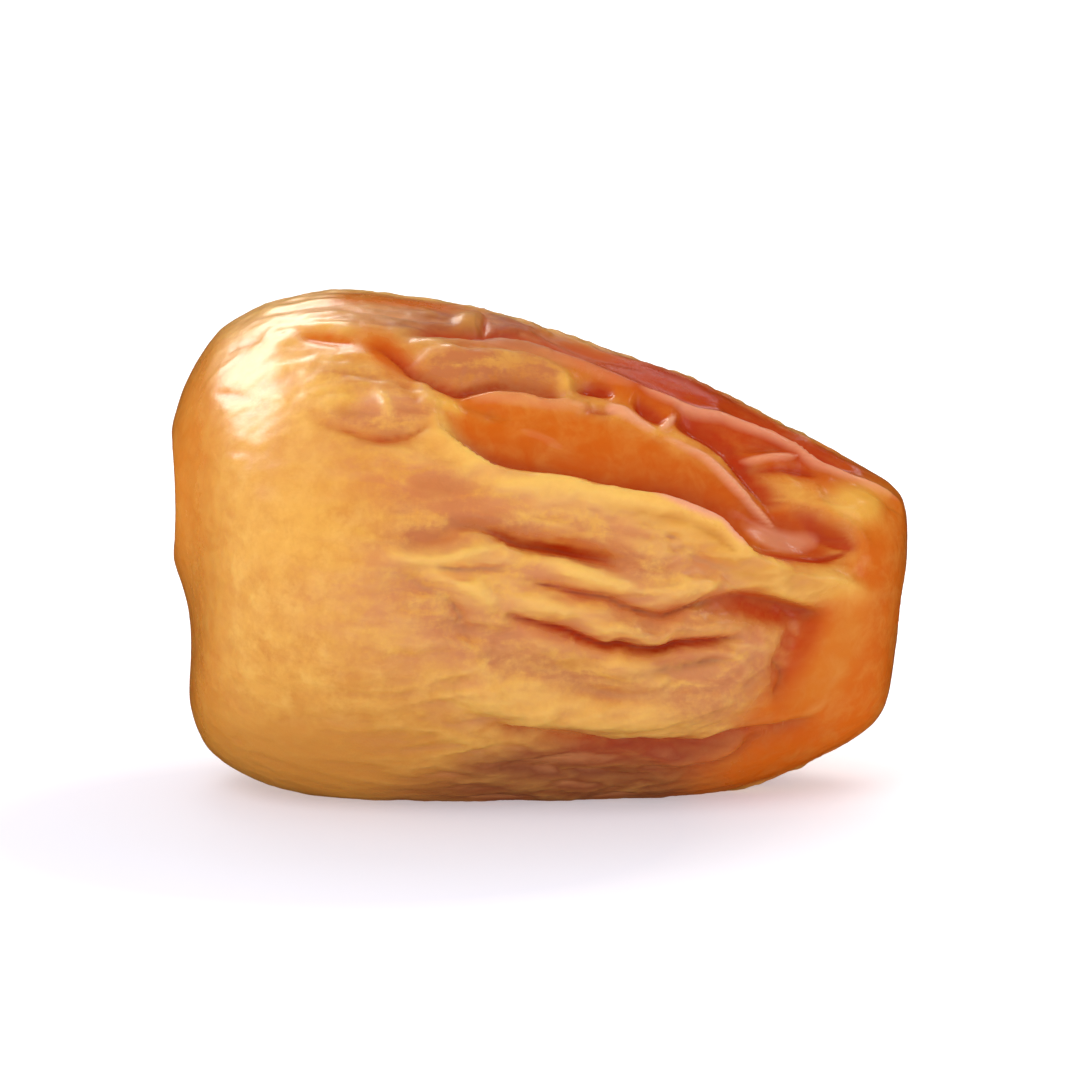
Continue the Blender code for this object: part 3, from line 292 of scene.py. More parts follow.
    "tail crease": Fold([(81.3, 28.8, 0), (81.9, 27.1, 0.3), (83.1, 24.2, 0.38), (82.1, 21.2, 0.3),
        (81.6, 19.4, 0)], 0.25, 0.25, SHARP, "red", 0.6),
    "tan hollow": Fold([(42, 28.4, 0), (44.1, 27.4, 0.28), (51.6, 25.6, 0.42), (59.2, 22, 0.32),
        (63, 20.6, 0)], 0.9, 0.7, ROUNDED, "shade", 0.5),
    "pale patch": Fold([(58, 27.2, 0), (61, 26, -0.3), (65.6, 24.2, -0.28),
        (68.6, 23.4, 0)], 0.6, 0.55, ROUNDED, "pale", 0.35),
    "mound": Fold([(39.6, 23.8, 0), (41.3, 22.7, -0.3), (43.6, 21.4, -0.42), (45.6, 19.8, -0.48),
        (48.1, 18.7, -0.52), (51.6, 17.9, -0.58), (56.1, 17.2, -0.62), (62, 17.2, -0.62),
        (68, 18, -0.58), (74, 19.6, -0.42), (79.4, 22, 0)], 0.7, 0.9, ROUNDED, "pale", 0.2),
    "low crease": Fold([(42, 15.6, 0), (45.1, 14.7, 0.4), (49.1, 13.9, 0.58), (54.1, 12.8, 0.68),
        (58, 11.6, 0.75), (61.8, 11, 0.8), (69.3, 10.9, 0.75), (73.1, 11.4, 0.7),
        (75.6, 12.7, 0.65), (78.1, 13.2, 0.6), (81.9, 14, 0.52), (85.1, 15, 0.4),
        (88.1, 16.2, 0)], 0.25, 0.7, SHARP, "red", 0.7),
    "low ridge": Fold([(63, 9, 0), (66.3, 8.4, -0.3), (71, 7.6, -0.38), (75.6, 9.4, -0.32),
        (78.1, 11.2, 0)], 0.3, 0.35, ROUNDED, "tan", 0.5),
    "low branch": Fold([(68, 5.5, 0), (70.6, 5.9, 0.38), (74.3, 7, 0.45), (77.6, 9.4, 0.45),
        (79.3, 11.4, 0.35), (81.9, 12.7, 0)], 0.28, 0.3, SHARP, "brown", 1.0),
    "underside crease": Fold([(44, 6.8, 0), (49, 5.9, 0.45), (55, 5, 0.5), (61, 4.6, 0.4),
        (67, 5, 0)], 0.5, 0.5, SHARP, "brown", 1.0),
}

# Back folds, whose place across is in degrees round from the front over the
# top. The first side is the one that faces the front
BACK_FOLDS = {
    "back panel": Fold([(34, 150, 0), (41, 153, 0.6), (50, 157, 1.0), (60, 159, 1.1),
        (70, 160, 1.2), (79, 163, 1.2), (86, 166, 0.7),
        (90, 167, 0)], 3.2, 0.5, ROUNDED, "amber", 1.0),
    "back rim": Fold([(38, 154, 0), (46, 158, 0.25), (55, 161.5, 0.3), (64, 162.5, 0.3),
        (74, 164.5, 0.35), (82, 168, 0.3), (89, 170, 0)], 0.35, 0.2, SHARP, "red", 0.9),
    "back crest": Fold([(44, 143, 0), (50, 147, -0.25), (57, 147, -0.3), (64, 151, -0.3),
        (72, 152, -0.25), (80, 157, 0)], 0.3, 0.35, ROUNDED, "peach", 0.5),
    "back lip": Fold([(32, 155, 0), (40, 158, -0.4), (50, 162.5, -0.55), (60, 165, -0.55),
        (68, 165, -0.5), (76, 169, -0.55), (86, 173, -0.35),
        (93, 174, 0)], 0.5, 1.2, ROUNDED, "pale", 0.9),
    "back groove": Fold([(28, 128, 0), (32, 124.5, 0.5), (37, 124, 0.7), (42, 127.5, 0.7),
        (47, 128.5, 0.75), (53, 126, 0.7), (59, 126.5, 0.7), (66, 130, 0.6), (78, 134, 0.4),
        (88, 136, 0)], 0.5, 0.5, SHARP, "red", 0.9),
    "groove fork": Fold([(45, 128, 0), (49, 133, 0.35), (54, 136, 0.5), (61, 136, 0.5),
        (67, 139, 0)], 0.35, 0.3, SHARP, "red", 0.8),
    "back crease": Fold([(20, 104, 0), (28, 107, 0.4), (34, 105, 0.55), (40, 103.5, 0.6),
        (48, 106.5, 0.6), (55, 106, 0.55), (62, 109, 0.5), (74, 108, 0.5), (84, 112, 0.3),
        (92, 112, 0)], 0.4, 0.6, SHARP, "red", 0.8),
    "back roll": Fold([(30, 113, 0), (40, 112, -0.35), (48, 116.5, -0.45), (57, 115.5, -0.4),
        (68, 119, -0.4), (82, 122, 0)], 0.7, 0.7, ROUNDED, "golden", 0.5),
    "roll dent": Fold([(52, 111, 0), (56, 112, 0.3), (60, 114, 0.35),
        (66, 113, 0)], 0.3, 0.3, SHARP, "red", 0.7),
    "back dimple": Fold([(26, 178, 0), (30, 175.5, 0.35), (35, 173.5, 0.6), (40, 173, 0.75),
        (44, 175, 0.7), (49, 177, 0.4), (53, 177.5, 0)], 0.28, 0.5, ROUNDED, "red", 0.9),
    "dimple brow": Fold([(24, 171, 0), (29, 169, -0.25), (35, 167.5, -0.35), (42, 169, -0.32),
        (49, 172, -0.2), (52, 173, 0)], 0.4, 0.4, ROUNDED, "pale", 0.75),
    "mid crease": Fold([(26, 184, 0), (34, 187, 0.4), (40, 184, 0.5), (46, 182.5, 0.6),
        (52, 185.5, 0.65), (58, 185, 0.65), (68, 190, 0.6), (75, 188, 0.5), (82, 190, 0.35),
        (90, 190, 0)], 0.35, 0.7, SHARP, "red", 0.85),
    "crease fork": Fold([(55, 185, 0), (59, 180, 0.4), (64, 176.5, 0.5), (70, 177, 0.45),
        (75, 174.5, 0)], 0.3, 0.35, SHARP, "red", 0.8),
    "mid ridge": Fold([(38, 195, 0), (43, 192.5, -0.3), (48, 192, -0.4), (54, 195.5, -0.45),
        (60, 195, -0.42), (70, 200, -0.4), (82, 199, 0)], 0.5, 0.6, ROUNDED, "pale", 0.6),
    "ridge line": Fold([(46, 199, 0), (51, 200.5, 0.3), (57, 199.5, 0.4), (63, 202.5, 0.4),
        (69, 204.5, 0.3), (76, 203, 0)], 0.28, 0.3, SHARP, "red", 0.7),
    "back hollow": Fold([(18, 196, 0), (26, 200, 0.25), (34, 203, 0.35), (42, 206, 0.25),
        (48, 209, 0)], 1.3, 1.3, ROUNDED, "tan", 0.9),
    "lower crease": Fold([(30, 212, 0), (36, 209, 0.35), (42, 208, 0.5), (47, 210.5, 0.55),
        (53, 212, 0.6), (59, 211, 0.6), (66, 214, 0.55), (75, 210, 0.45),
        (87, 212, 0)], 0.35, 0.6, SHARP, "red", 0.8),
    "lower swell": Fold([(36, 218, 0), (44, 218.5, -0.35), (53, 220, -0.5), (63, 222, -0.5),
        (73, 219, -0.4), (82, 220, 0)], 0.7, 0.7, ROUNDED, "pale", 0.5),
    "lower hollow": Fold([(44, 230, 0), (54, 228, 0.45), (60, 231, 0.5), (66, 232, 0.5),
        (78, 229, 0.3), (88, 230, 0)], 0.5, 0.8, SHARP, "brown", 0.9),
    "low ripple": Fold([(34, 243, 0), (42, 246, 0.3), (50, 243.5, 0.42), (58, 246, 0.42),
        (67, 243, 0.35), (78, 245, 0)], 0.4, 0.5, SHARP, "brown", 0.9),
    "back recess": Fold([(76, 180, 0), (80, 181, 0.5), (84, 183.5, 0.85), (88, 186, 0.7),
        (91, 188, 0)], 0.3, 1.1, ROUNDED, "red", 0.9),
    "cross web": Fold([(52, 131, 0), (54.5, 138, -0.35), (55.5, 146, -0.3),
        (55, 152, 0)], 0.4, 0.4, SHARP, "pale", 0.5),
    "second web": Fold([(72, 134, 0), (70, 142, -0.35), (71, 150, -0.3),
        (73, 156, 0)], 0.4, 0.4, SHARP, "pale", 0.5),
    "shoulder dent": Fold([(12, 138, 0), (19, 141, 0.22), (27, 139, 0.28),
        (35, 141, 0)], 0.9, 0.9, ROUNDED, "tan", 0.7),
    "calyx flute": Fold([(6, 168, 0), (13, 170, 0.25), (22, 172, 0.2),
        (30, 170, 0)], 1.3, 1.3, ROUNDED, "tan", 0.3),
}

# Tints of the front that no fold carries, with lines as above
FRONT_BLUSHES = {
    "tip": blush([(74, 3, 0.5), (81, 7, 0.9), (88, 11, 0.9), (93, 22, 0.95), (95.5, 38, 1.0),
        (97, 54, 0.95)], 2.0, 4.0, "amber", 1.0),
    "tip glow": blush([(85, 20, 0.4), (88.5, 24, 1.0), (91, 32, 1.0),
        (92, 38, 0.4)], 1.0, 1.0, "honey", 0.35),
    "top streak": blush([(22, 98.2, 0.2), (26, 98.7, 0.9), (31, 98.2, 1.0), (36, 97, 0.8),
        (42, 95.4, 0.2)], 0.4, 0.4, "amber", 0.85),
    "upper right": blush([(54, 87, 0.5), (66, 80, 0.95), (80, 71.5, 1.0),
        (94, 62, 0.9)], 2.8, 1.6, "amber", 1.0),
    "upper red": blush([(56, 87.6, 0.3), (68, 80, 0.8), (82, 71, 0.9),
        (92, 63.5, 0.5)], 2.0, 0.9, "red", 0.85),
    "upper band": blush([(26, 94, 0.2), (34, 93, 0.5), (45, 90.5, 0.8), (58, 86.5, 0.8),
        (68, 81, 0.5)], 2.4, 1.0, "brown", 1.0),
    "panel": blush([(39.5, 75.5, 0.7), (46, 73.5, 1.0), (54, 71.5, 1.0), (62, 68.5, 1.0),
        (70, 63, 1.0), (78, 56, 1.0), (84, 53, 1.0), (88, 51.5, 0.7)], 1.7, 1.7, "amber", 1.0),
    "sunny": blush([(8, 62, 0.4), (14, 66, 0.8), (20, 67, 1.0),
        (25, 66, 0.6)], 1.6, 2.6, "honey", 0.4),
    "low shade": blush([(5, 14, 0.6), (14, 8, 1.0), (24, 8, 1.0),
        (34, 10, 0.6)], 2.4, 2.4, "honey", 0.9),
    "bump shade": blush([(23, 74.6, 0.5), (27, 74, 1.0), (31, 73.4, 1.0),
        (35, 75.2, 0.7)], 0.7, 0.5, "shade", 0.6),
    "pool sheen": blush([(79.5, 55.4, 0.4), (82, 52.8, 1.0), (85, 51.4, 1.0),
        (87.6, 51.6, 0.6)], 0.75, 0.7, "peach", 0.55),
    "panel low": blush([(62, 62.8, 0.3), (68, 61, 0.8), (73, 58.6, 1.0),
        (77, 55, 0.8)], 1.0, 0.5, "red", 0.5),
    "temple glow": blush([(27, 63, 0.4), (33, 61, 1.0), (38, 59, 1.0),
        (43, 57, 0.5)], 1.2, 1.2, "amber", 0.25),
    "dimple red": blush([(43, 52.8, 0.5), (48, 51.4, 1.0), (54, 50.4, 1.0), (59, 48.4, 0.8),
        (61.5, 46.6, 0.4)], 0.5, 0.4, "red", 0.6),
    "roll shade": blush([(35, 85, 0.5), (40, 84.4, 1.0), (46, 84, 1.0),
        (51, 83, 0.8)], 0.8, 0.7, "shade", 0.95),
    "pleat shade": blush([(20, 83.6, 0.4), (25, 82.6, 0.8), (30, 82, 1.0),
        (34, 79.6, 0.6)], 0.7, 0.5, "shade", 0.5),
    "temple shade": blush([(29, 60, 0.3), (33, 58, 0.8), (37, 60.5, 1.0),
        (41, 58.5, 0.7)], 1.0, 1.0, "shade", 0.4),
    "dimple shade": blush([(31, 51.6, 0.4), (35, 52.6, 1.0), (39, 54, 1.0), (44, 54.4, 0.8),
        (50, 52.4, 0.5)], 0.6, 0.7, "shade", 0.75),
    "between shade": blush([(54, 54.4, 0.3), (59, 49.6, 1.0), (63, 46.6, 1.0),
        (67, 45, 0.5)], 0.6, 0.6, "shade", 0.65),
    "cheek shade": blush([(30, 43, 0.3), (36, 38, 1.0), (41, 33, 1.0),
        (47, 29.6, 0.5)], 1.0, 1.2, "shade", 0.35),
    "fold shade": blush([(58, 38.6, 0.3), (64, 34.8, 1.0), (70, 35.6, 1.0),
        (76, 36.4, 0.6)], 0.9, 0.7, "shade", 0.5),
    "mound shade": blush([(66, 21.6, 0.4), (71, 20.4, 1.0), (76, 22, 1.0),
        (80, 25, 0.6)], 1.0, 1.1, "shade", 0.5),
    "lip shade": blush([(73, 49.6, 0.4), (78, 45.6, 1.0), (84, 43, 1.0),
        (90, 41.6, 0.6)], 0.5, 0.6, "honey", 0.75),
    "groove start": blush([(27, 91, 0.4), (30, 87.5, 1.0), (33, 84, 0.7)], 0.9, 0.9, "amber", 1.0),
    "mound end": blush([(80, 15, 0.5), (85, 22, 0.8), (88.5, 31, 0.9),
        (91, 38, 0.7)], 1.6, 2.0, "amber", 1.0),
    # Darker brown towards the underside
    "belly": blush([(27, 1, 0.3), (36, 3.5, 0.7), (46, 6, 0.9), (58, 7, 0.9), (68, 7.5, 0.75),
        (76, 8.5, 0.4), (84, 12, 0.2)], 1.1, 4.0, "brown", 1.0),
    "temple": blush([(25, 66, 0.35), (31, 63, 0.6), (36, 60, 0.75), (40, 56, 0.8),
        (45, 54, 0.5)], 1.5, 1.2, "tan", 1.0),
    "under rim": blush([(44, 58, 0.4), (54, 56, 0.55), (64, 52, 0.5),
        (71, 46, 0.6)], 1.2, 1.2, "tan", 1.0),
    "middle": blush([(30, 43, 0.4), (38, 41, 0.8), (48, 40, 1.0), (58, 40, 1.0), (68, 36, 1.0),
        (79, 30, 0.8)], 2.2, 4.2, "tan", 1.0),
    "middle shade": blush([(38, 35, 0.4), (46, 30, 0.5), (54, 26, 0.5),
        (64, 22.5, 0.3)], 1.0, 1.0, "shade", 0.35),
}

# Tints of the back that no fold carries, with places across in degrees
BACK_BLUSHES = {
    "back top": blush([(46, 104, 0.5), (58, 108, 0.9), (72, 112, 1.0),
        (88, 122, 1.0)], 2.2, 2.4, "amber", 1.0),
    "back panel": blush([(42, 146, 0.7), (54, 149, 1.0), (66, 152, 1.0),
        (80, 158, 0.9)], 1.8, 1.8, "amber", 1.0),
    "back middle": blush([(30, 192, 0.4), (42, 196, 1.0), (56, 200, 1.0), (70, 204, 1.0),
        (82, 206, 0.5)], 2.4, 3.2, "tan", 1.0),
    # Darker brown towards the underside
    "back belly": blush([(26, 262, 0.4), (40, 258, 0.9), (58, 256, 0.9), (74, 256, 0.7),
        (84, 258, 0.4)], 3.4, 4.0, "brown", 1.0),
}

# Small wrinkles drawn by lot on the back, the top and the underside. Angles are in
# degrees, the ends in percent of the length, and depths and reaches in millimetres
WRINKLE_SEED = 11
WRINKLE_COUNT = 18
WRINKLE_ANGLES = (100, 345)
WRINKLE_BEGIN = (20, 55)
WRINKLE_FINISH = (80, 94)
WRINKLE_STRAY = 4
WRINKLE_RED = 0.35
WRINKLE_DEPTH = (0.12, 0.32)
WRINKLE_REACH = (0.35, 0.7)

# The floor in metres: a flat middle, then an even rise, and a painted shadow: a patch that is grey
# up to one distance from its middle and white from the other on
FLOOR_SIDES = 96
FLOOR_RINGS = 24
FLOOR_FLAT = 0.8
FLOOR_RISE_RUN = 1.6
FLOOR_RISE = 0.5
FLOOR_SHADOW_MIDDLE = (-0.01, -0.012, 0.0)
FLOOR_GREY = 0.017
FLOOR_WHITE = 0.034
FLOOR_SHADOW_TONE = (0.52, 0.53, 0.6)
FLOOR_FAR = (0.92, 0.92, 0.925)

# Each lamp by the setting that holds its power: its name, its place and size in metres,
# whether it makes only glints, or else only soft light, and its colour
Lamp = namedtuple("Lamp", "name place size glint shade", defaults=(True, (1.0, 1.0, 1.0)))
LAMPS = {
    "front_power": Lamp("soft front", (-0.16, -0.26, 0.3), (0.25, 0.25), False),
    "top_power": Lamp("soft top", (0.05, 0.23, 0.34), (0.4, 0.2), False),
    "window_power": Lamp("window glint", (-0.27, 0.06, 0.25), (0.24, 0.24)),
    "shoulder_power": Lamp("shoulder glint", (-0.12, 0.25, 0.32), (0.22, 0.15), True,
                           (1.0, 0.97, 0.93)),
    "pool_power": Lamp("pool glint", (0.308, -0.175, 0.143), (0.11, 0.11), True,
                       (1.0, 0.86, 0.95)),
    "lip_power": Lamp("lip glint", (0.27, 0.03, 0.3), (0.07, 0.06)),
    "roll_power": Lamp("roll glint", (0.085, 0.365, 0.2), (0.1, 0.05), True,
                       (0.88, 0.88, 1.0)),
}

# How much the skin faces the eye, or faces away, where the folds of the front and of
# the back begin and are full
FRONT_FADE = (0, 0.22)
BACK_FADE = (-0.1, 0.12)

# Where the amber of the tip begins and is full behind, as shares of the length, and
# how much the skin faces the eye where the tints of the front take over
TIP_AMBER = (0.82, 0.95)
TIP_FACING = (0.1, 0.4)

# Painted shade at the calyx end: the honey and amber that darken it, and where they fade, as
# shares of the length
CALYX_SHADE_HONEY = 0.4
CALYX_SHADE_AMBER = 0.75
CALYX_FADE = (0.02, 0.11)

# Crinkles: what is left of them at the calyx end and on wet skin, where along the
# length they come up, and how much earlier they do so up on the shoulder
CRINKLED_CALYX = 0.2
CRINKLED_ALONG = (0.2, 0.42)
CRINKLED_WET = 0.08
SHOULDER_LEAD = 0.12
SHOULDER_HEIGHT = (0.65, 0.85)

# Shape of the crinkles: how they are scaled along each axis, how bent they are, how
# steep, and how softly they end in the flat skin between them
CRINKLE_DRAWN_OUT = (0.27, 1.0, 1.0)
CRINKLE_BEND = 0.35
CRINKLE_STEEPNESS = 7
CRINKLE_SOFTNESS = 0.8

# How far a fold's tint reaches beyond its depth
TINT_SPREAD = 1.5
TINTS = ("golden", "honey", "amber", "red", "brown", "tan", "pale", "peach", "shade")


def tint(code):
    """Linear red, green and blue of a six-digit colour."""
    parts = [int(code[place:place + 2], 16) / 255 for place in (0, 2, 4)]
    return tuple(part / 12.92 if part <= 0.04045 else ((part + 0.055) / 1.055) ** 2.4
                 for part in parts)


def colour(name, description, code):
    return FloatVectorProperty(name=name, description=description, subtype="COLOR", size=3,
                               min=0.0, max=1.0, default=tint(code))


def power(name, description, watts):
    return FloatProperty(name=name, description=description, default=watts, unit="POWER")


class DateShape(bpy.types.PropertyGroup):
    rings: IntProperty(
        name="Rings", description="Rings of the skin from end to end", default=300, min=20)
    around: IntProperty(
        name="Points Round", description="Points in each ring", default=320, min=24)
    eye_elevation: FloatProperty(
        name="Eye Elevation", description="How far above the table the front is seen from",
        default=math.radians(10), subtype="ANGLE", unit="ROTATION")
    crinkle_size: FloatProperty(
        name="Crinkle Size", description="Size of the small wrinkles between the folds",
        default=1.6 * MM, unit="LENGTH", subtype="DISTANCE")
    crinkle_depth: FloatProperty(
        name="Crinkle Depth", description="Depth of the small wrinkles",
        default=0.2 * MM, unit="LENGTH", subtype="DISTANCE")
    fine_share: FloatProperty(
        name="Fine Share", description="Size and depth of each finer layer beside the last",
        default=0.5, min=0.0, max=1.0)
    seed: IntProperty(name="Seed", description="Seed of the small wrinkles", default=3, min=0)


class DateColours(bpy.types.PropertyGroup):
    golden: colour("Golden", "Dry skin of the calyx end", "EBAB44")
    # Honey also lays painted shade on the calyx end and towards the bottom
    honey: colour("Honey", "Darker flecks in the golden skin", "D98E2E")
    # Pale is partly lighter skin on crests and bleached spots, partly painted highlight where
    # crests catch the light
    pale: colour("Pale", "Crests that the light has bleached", "F8C35E")
    tan: colour("Tan", "Dull rosy skin between the folds", "DC8E52")
    amber: colour("Amber", "Clear wet skin of the panels and the tip", "D2640A")
    # Red is partly the redder flesh in the folds, partly painted shade in grooves and recesses
    red: colour("Red", "Depth of the folds", "B83408")
    brown: colour("Brown", "Dry dark skin of the underside", "9C5020")
    # Peach is a painted sheen on the wet crests, the lip and the pool
    peach: colour("Peach", "Thin crests of the wet skin", "F0A47C")
    # Rosy is painted shade, laid by the shade tints in hollows and under rolls
    rosy: colour("Rosy", "Dull patches that the light has not bleached", "C8743C")


class DateStage(bpy.types.PropertyGroup):
    distance: FloatProperty(
        name="Camera Distance", description="From the camera to the middle of the date",
        default=0.5, unit="LENGTH", subtype="DISTANCE")
    frame_share: FloatProperty(
        name="Share Of Width", description="Share of the picture that the date's length fills",
        default=0.68, min=0.05, max=1.0)
    front_power: power("Front Power", "Power of the soft light from the left in front", 0.7)
    top_power: power("Top Power", "Power of the soft light above", 0.45)
    window_power: power("Window Power", "Power of the glint of a window on the calyx end", 1.45)
    shoulder_power: power("Shoulder Power", "Power of the glint along the top", 0.75)
    pool_power: power("Pool Power", "Power of the glint on the wet skin near the tip", 0.04)
    lip_power: power("Lip Power", "Power of the glint on the lip below the panel", 0.05)
    roll_power: power("Roll Power", "Power of the cool glint on the upper rolls", 0.022)
    # The floor's own glow, with no lamp behind it: it lightens the floor's shadow and the date's
    # underside
    floor_glow: FloatProperty(
        name="Floor Glow", description="Light that the paper lets through from below",
        default=0.4)
    sky: FloatProperty(
        name="Sky Strength", description="Strength of the white all round", default=0.66)


def smooth_step(low, high, value):
    """0 below low, 1 above high, and an even S between them."""
    part = np.clip((value - low) / (high - low), 0.0, 1.0)
    return part * part * (3.0 - 2.0 * part)


def smooth_curve(points, steps):
    """A Catmull-Rom curve through the points, with steps pieces to a span."""
    points = np.asarray(points, float)
    ends = np.vstack([2 * points[0] - points[1], points, 2 * points[-1] - points[-2]])
    part = np.linspace(0, 1, steps, endpoint=False)[:, None]
    spans = []
    for before, start, end, after in zip(ends, ends[1:], ends[2:], ends[3:]):
        spans.append(
            0.5 * (2 * start + (end - before) * part
                   + (2 * before - 5 * start + 4 * end - after) * part ** 2
                   + (3 * start - before - 3 * end + after) * part ** 3)
        )
    return np.vstack(spans + [points[-1:]])


def even_points(curve, fractions):
    """Points at the given fractions of a curve's own length."""
    steps = np.linalg.norm(np.diff(curve, axis=0), axis=1)
    travelled = np.concatenate([[0], np.cumsum(steps)])
    wanted = fractions * travelled[-1]
    return np.column_stack([np.interp(wanted, travelled, axis) for axis in curve.T])


def outline_line(points, fractions):
    """One line of the outline, in millimetres, from the calyx end to the tip."""
    line = np.asarray(points, float) * (LENGTH, ROUND_HEIGHT) / 100
    return even_points(smooth_curve(line, CURVE_STEPS), fractions) - (LENGTH / 2, REST_SINK)


def bare_body(rings, around):
    """Grid of points of the date with no folds yet, each ring's half depth, and the angles."""
    steps = np.linspace(0, 1, rings + 2)[1:-1]
    fractions = steps + RING_CROWDING * np.sin(2 * math.pi * steps)
    upper = outline_line(UPPER_OUTLINE, fractions)
    lower = outline_line(LOWER_OUTLINE, fractions)
    middle = (upper + lower) / 2
    reach = (upper - lower) / 2
    half_depth = np.linalg.norm(reach, axis=1) * DEPTH / ROUND_HEIGHT
    turn = np.linspace(0, 2 * math.pi, around, endpoint=False)
    angle = turn - FRONT_CROWDING * np.sin(turn)
    along = 0.5 + middle[:, 0] / LENGTH
    bow = (CALYX_ROUNDING * (1 - smooth_step(0, CALYX_ROUND_TO, along))
           - TIP_ROUNDING * smooth_step(TIP_ROUND_FROM, 1, along)) * half_depth ** 2
    x = middle[:, :1] + reach[:, :1] * np.sin(angle) + bow[:, None] * np.cos(angle) ** 2
    y = -half_depth[:, None] * np.cos(angle)
    z = middle[:, 1:] + reach[:, 1:] * np.sin(angle)
    return np.stack([x, y, z], axis=2), half_depth, angle


def outward(grid, calyx, tip):
    """Unit normals of the grid, which is closed round and ends in two points."""
    shape = grid.shape[1:]
    rows = np.concatenate([np.broadcast_to(calyx, (1, *shape)), grid,
                           np.broadcast_to(tip, (1, *shape))])
    along = rows[2:] - rows[:-2]
    across = np.roll(grid, -1, axis=1) - np.roll(grid, 1, axis=1)
    normals = np.cross(along, across)
    return normals / np.linalg.norm(normals, axis=2, keepdims=True)


def pressed(flat, stretch, curve, reaches, power):
    """How deep one fold presses each point, mostly from its nearest piece of the line.

    flat holds two coordinates a point, and stretch turns the second one to
    millimetres. The curve holds the same two and the depth.
    """
    margin = FELT_REACHES * max(reaches)
    low, high = curve.min(axis=0), curve.max(axis=0)
    near = (flat[:, 0] > low[0] - margin) & (flat[:, 0] < high[0] + margin)
    near &= (flat[:, 1] - low[1]) * stretch > -margin
    near &= (flat[:, 1] - high[1]) * stretch < margin
    x, y, scale = flat[near, 0], flat[near, 1], stretch[near]
    blend = np.zeros(len(x))
    weights = np.zeros(len(x))
    for start, end in zip(curve[:-1], curve[1:]):
        run_x = end[0] - start[0]
        run_y = (end[1] - start[1]) * scale
        off_x = x - start[0]
        off_y = (y - start[1]) * scale
        part = np.clip((off_x * run_x + off_y * run_y) / (run_x ** 2 + run_y ** 2), 0, 1)
        away = np.hypot(off_x - part * run_x, off_y - part * run_y)
        first_side = run_x * off_y - run_y * off_x > 0
        reach = np.where(first_side, *reaches)
        depth = (start[2] + (end[2] - start[2]) * part) * np.exp(-(away / reach) ** power)
        weight = (away + NEAREST_BLEND) ** -NEAREST_POWER
        blend += weight * depth
        weights += weight
    total = np.zeros(len(flat))
    total[near] = blend / weights
    return total


class Relief:
    """Tints of the skin, gathered fold by fold, and the depth of each fold."""

    def __init__(self, count):
        self.tints = {name: np.zeros(count) for name in TINTS}

    def add(self, fold, across, flat, stretch, share, flipped=False):
        """Adds the fold's tint and gives its depth. Across is one unit of its place across."""
        scale = (LENGTH / 100, across, 1)
        curve = smooth_curve(np.asarray(fold.line, float) * scale, CURVE_STEPS)
        curve[:, 0] -= LENGTH / 2
        reaches = (fold.second, fold.first) if flipped else (fold.first, fold.second)
        depth = pressed(flat, stretch, curve, reaches, fold.power) * share
        if fold.tint:
            mask = np.minimum(TINT_SPREAD * np.abs(depth) / np.abs(curve[:, 2]).max(), share)
            mask = mask * fold.strength
            self.tints[fold.tint] = np.maximum(self.tints[fold.tint], mask)
        return depth


def drawn_by_lot():
    """Small lengthwise wrinkles, each wandering a little on its way to the tip."""
    lot = random.Random(WRINKLE_SEED)
    wrinkles = []
    for number in range(WRINKLE_COUNT):
        low, high = WRINKLE_ANGLES
        angle = low + (high - low) * (number + lot.uniform(0.2, 0.8)) / WRINKLE_COUNT
        begin = lot.uniform(*WRINKLE_BEGIN)
        finish = lot.uniform(*WRINKLE_FINISH)
        depth = lot.uniform(*WRINKLE_DEPTH)
        line = []
        for part in (0, 0.25, 0.5, 0.75, 1):
            stray = lot.uniform(-WRINKLE_STRAY, WRINKLE_STRAY)
            line.append((begin + (finish - begin) * part, angle + stray,
                         depth * math.sin(math.pi * part)))
        first, second = lot.uniform(*WRINKLE_REACH), lot.uniform(*WRINKLE_REACH)
        wrinkles.append(Fold(line, first, second, SHARP, "red", WRINKLE_RED))
    return wrinkles


def end_relief(points, calyx, tip):
    """Depth of the round scar at the calyx end and of the small one at the tip."""
    from_calyx = np.linalg.norm(points - calyx, axis=1)
    dish = 1 - smooth_step(CALYX_SCAR_FLAT * CALYX_SCAR_RADIUS, CALYX_SCAR_RADIUS, from_calyx)
    rim = np.exp(-((from_calyx - CALYX_SCAR_RADIUS) / CALYX_RIM_WIDTH) ** 2)
    from_tip = np.linalg.norm(points - tip, axis=1)
    prick = np.exp(-(from_tip / TIP_SCAR_RADIUS) ** 2)
    depth = CALYX_SCAR_DEPTH * dish - CALYX_RIM_HEIGHT * rim + TIP_SCAR_DEPTH * prick
    return depth, dish


def off_table(points):
    """The points above the table, flat where the date lies on it."""
    lifted = np.maximum(points[:, 2], 0)
    return np.column_stack([points[:, :2], lifted * lifted / (lifted + REST_ROUNDING)])


def fitted(points):
    """The points at the place and size of the solid's own box."""
    low, high = points.min(axis=0), points.max(axis=0)
    share = (points - low) / (high - low)
    return np.array(DATE_LOW) + share * (np.array(DATE_HIGH) - np.array(DATE_LOW))


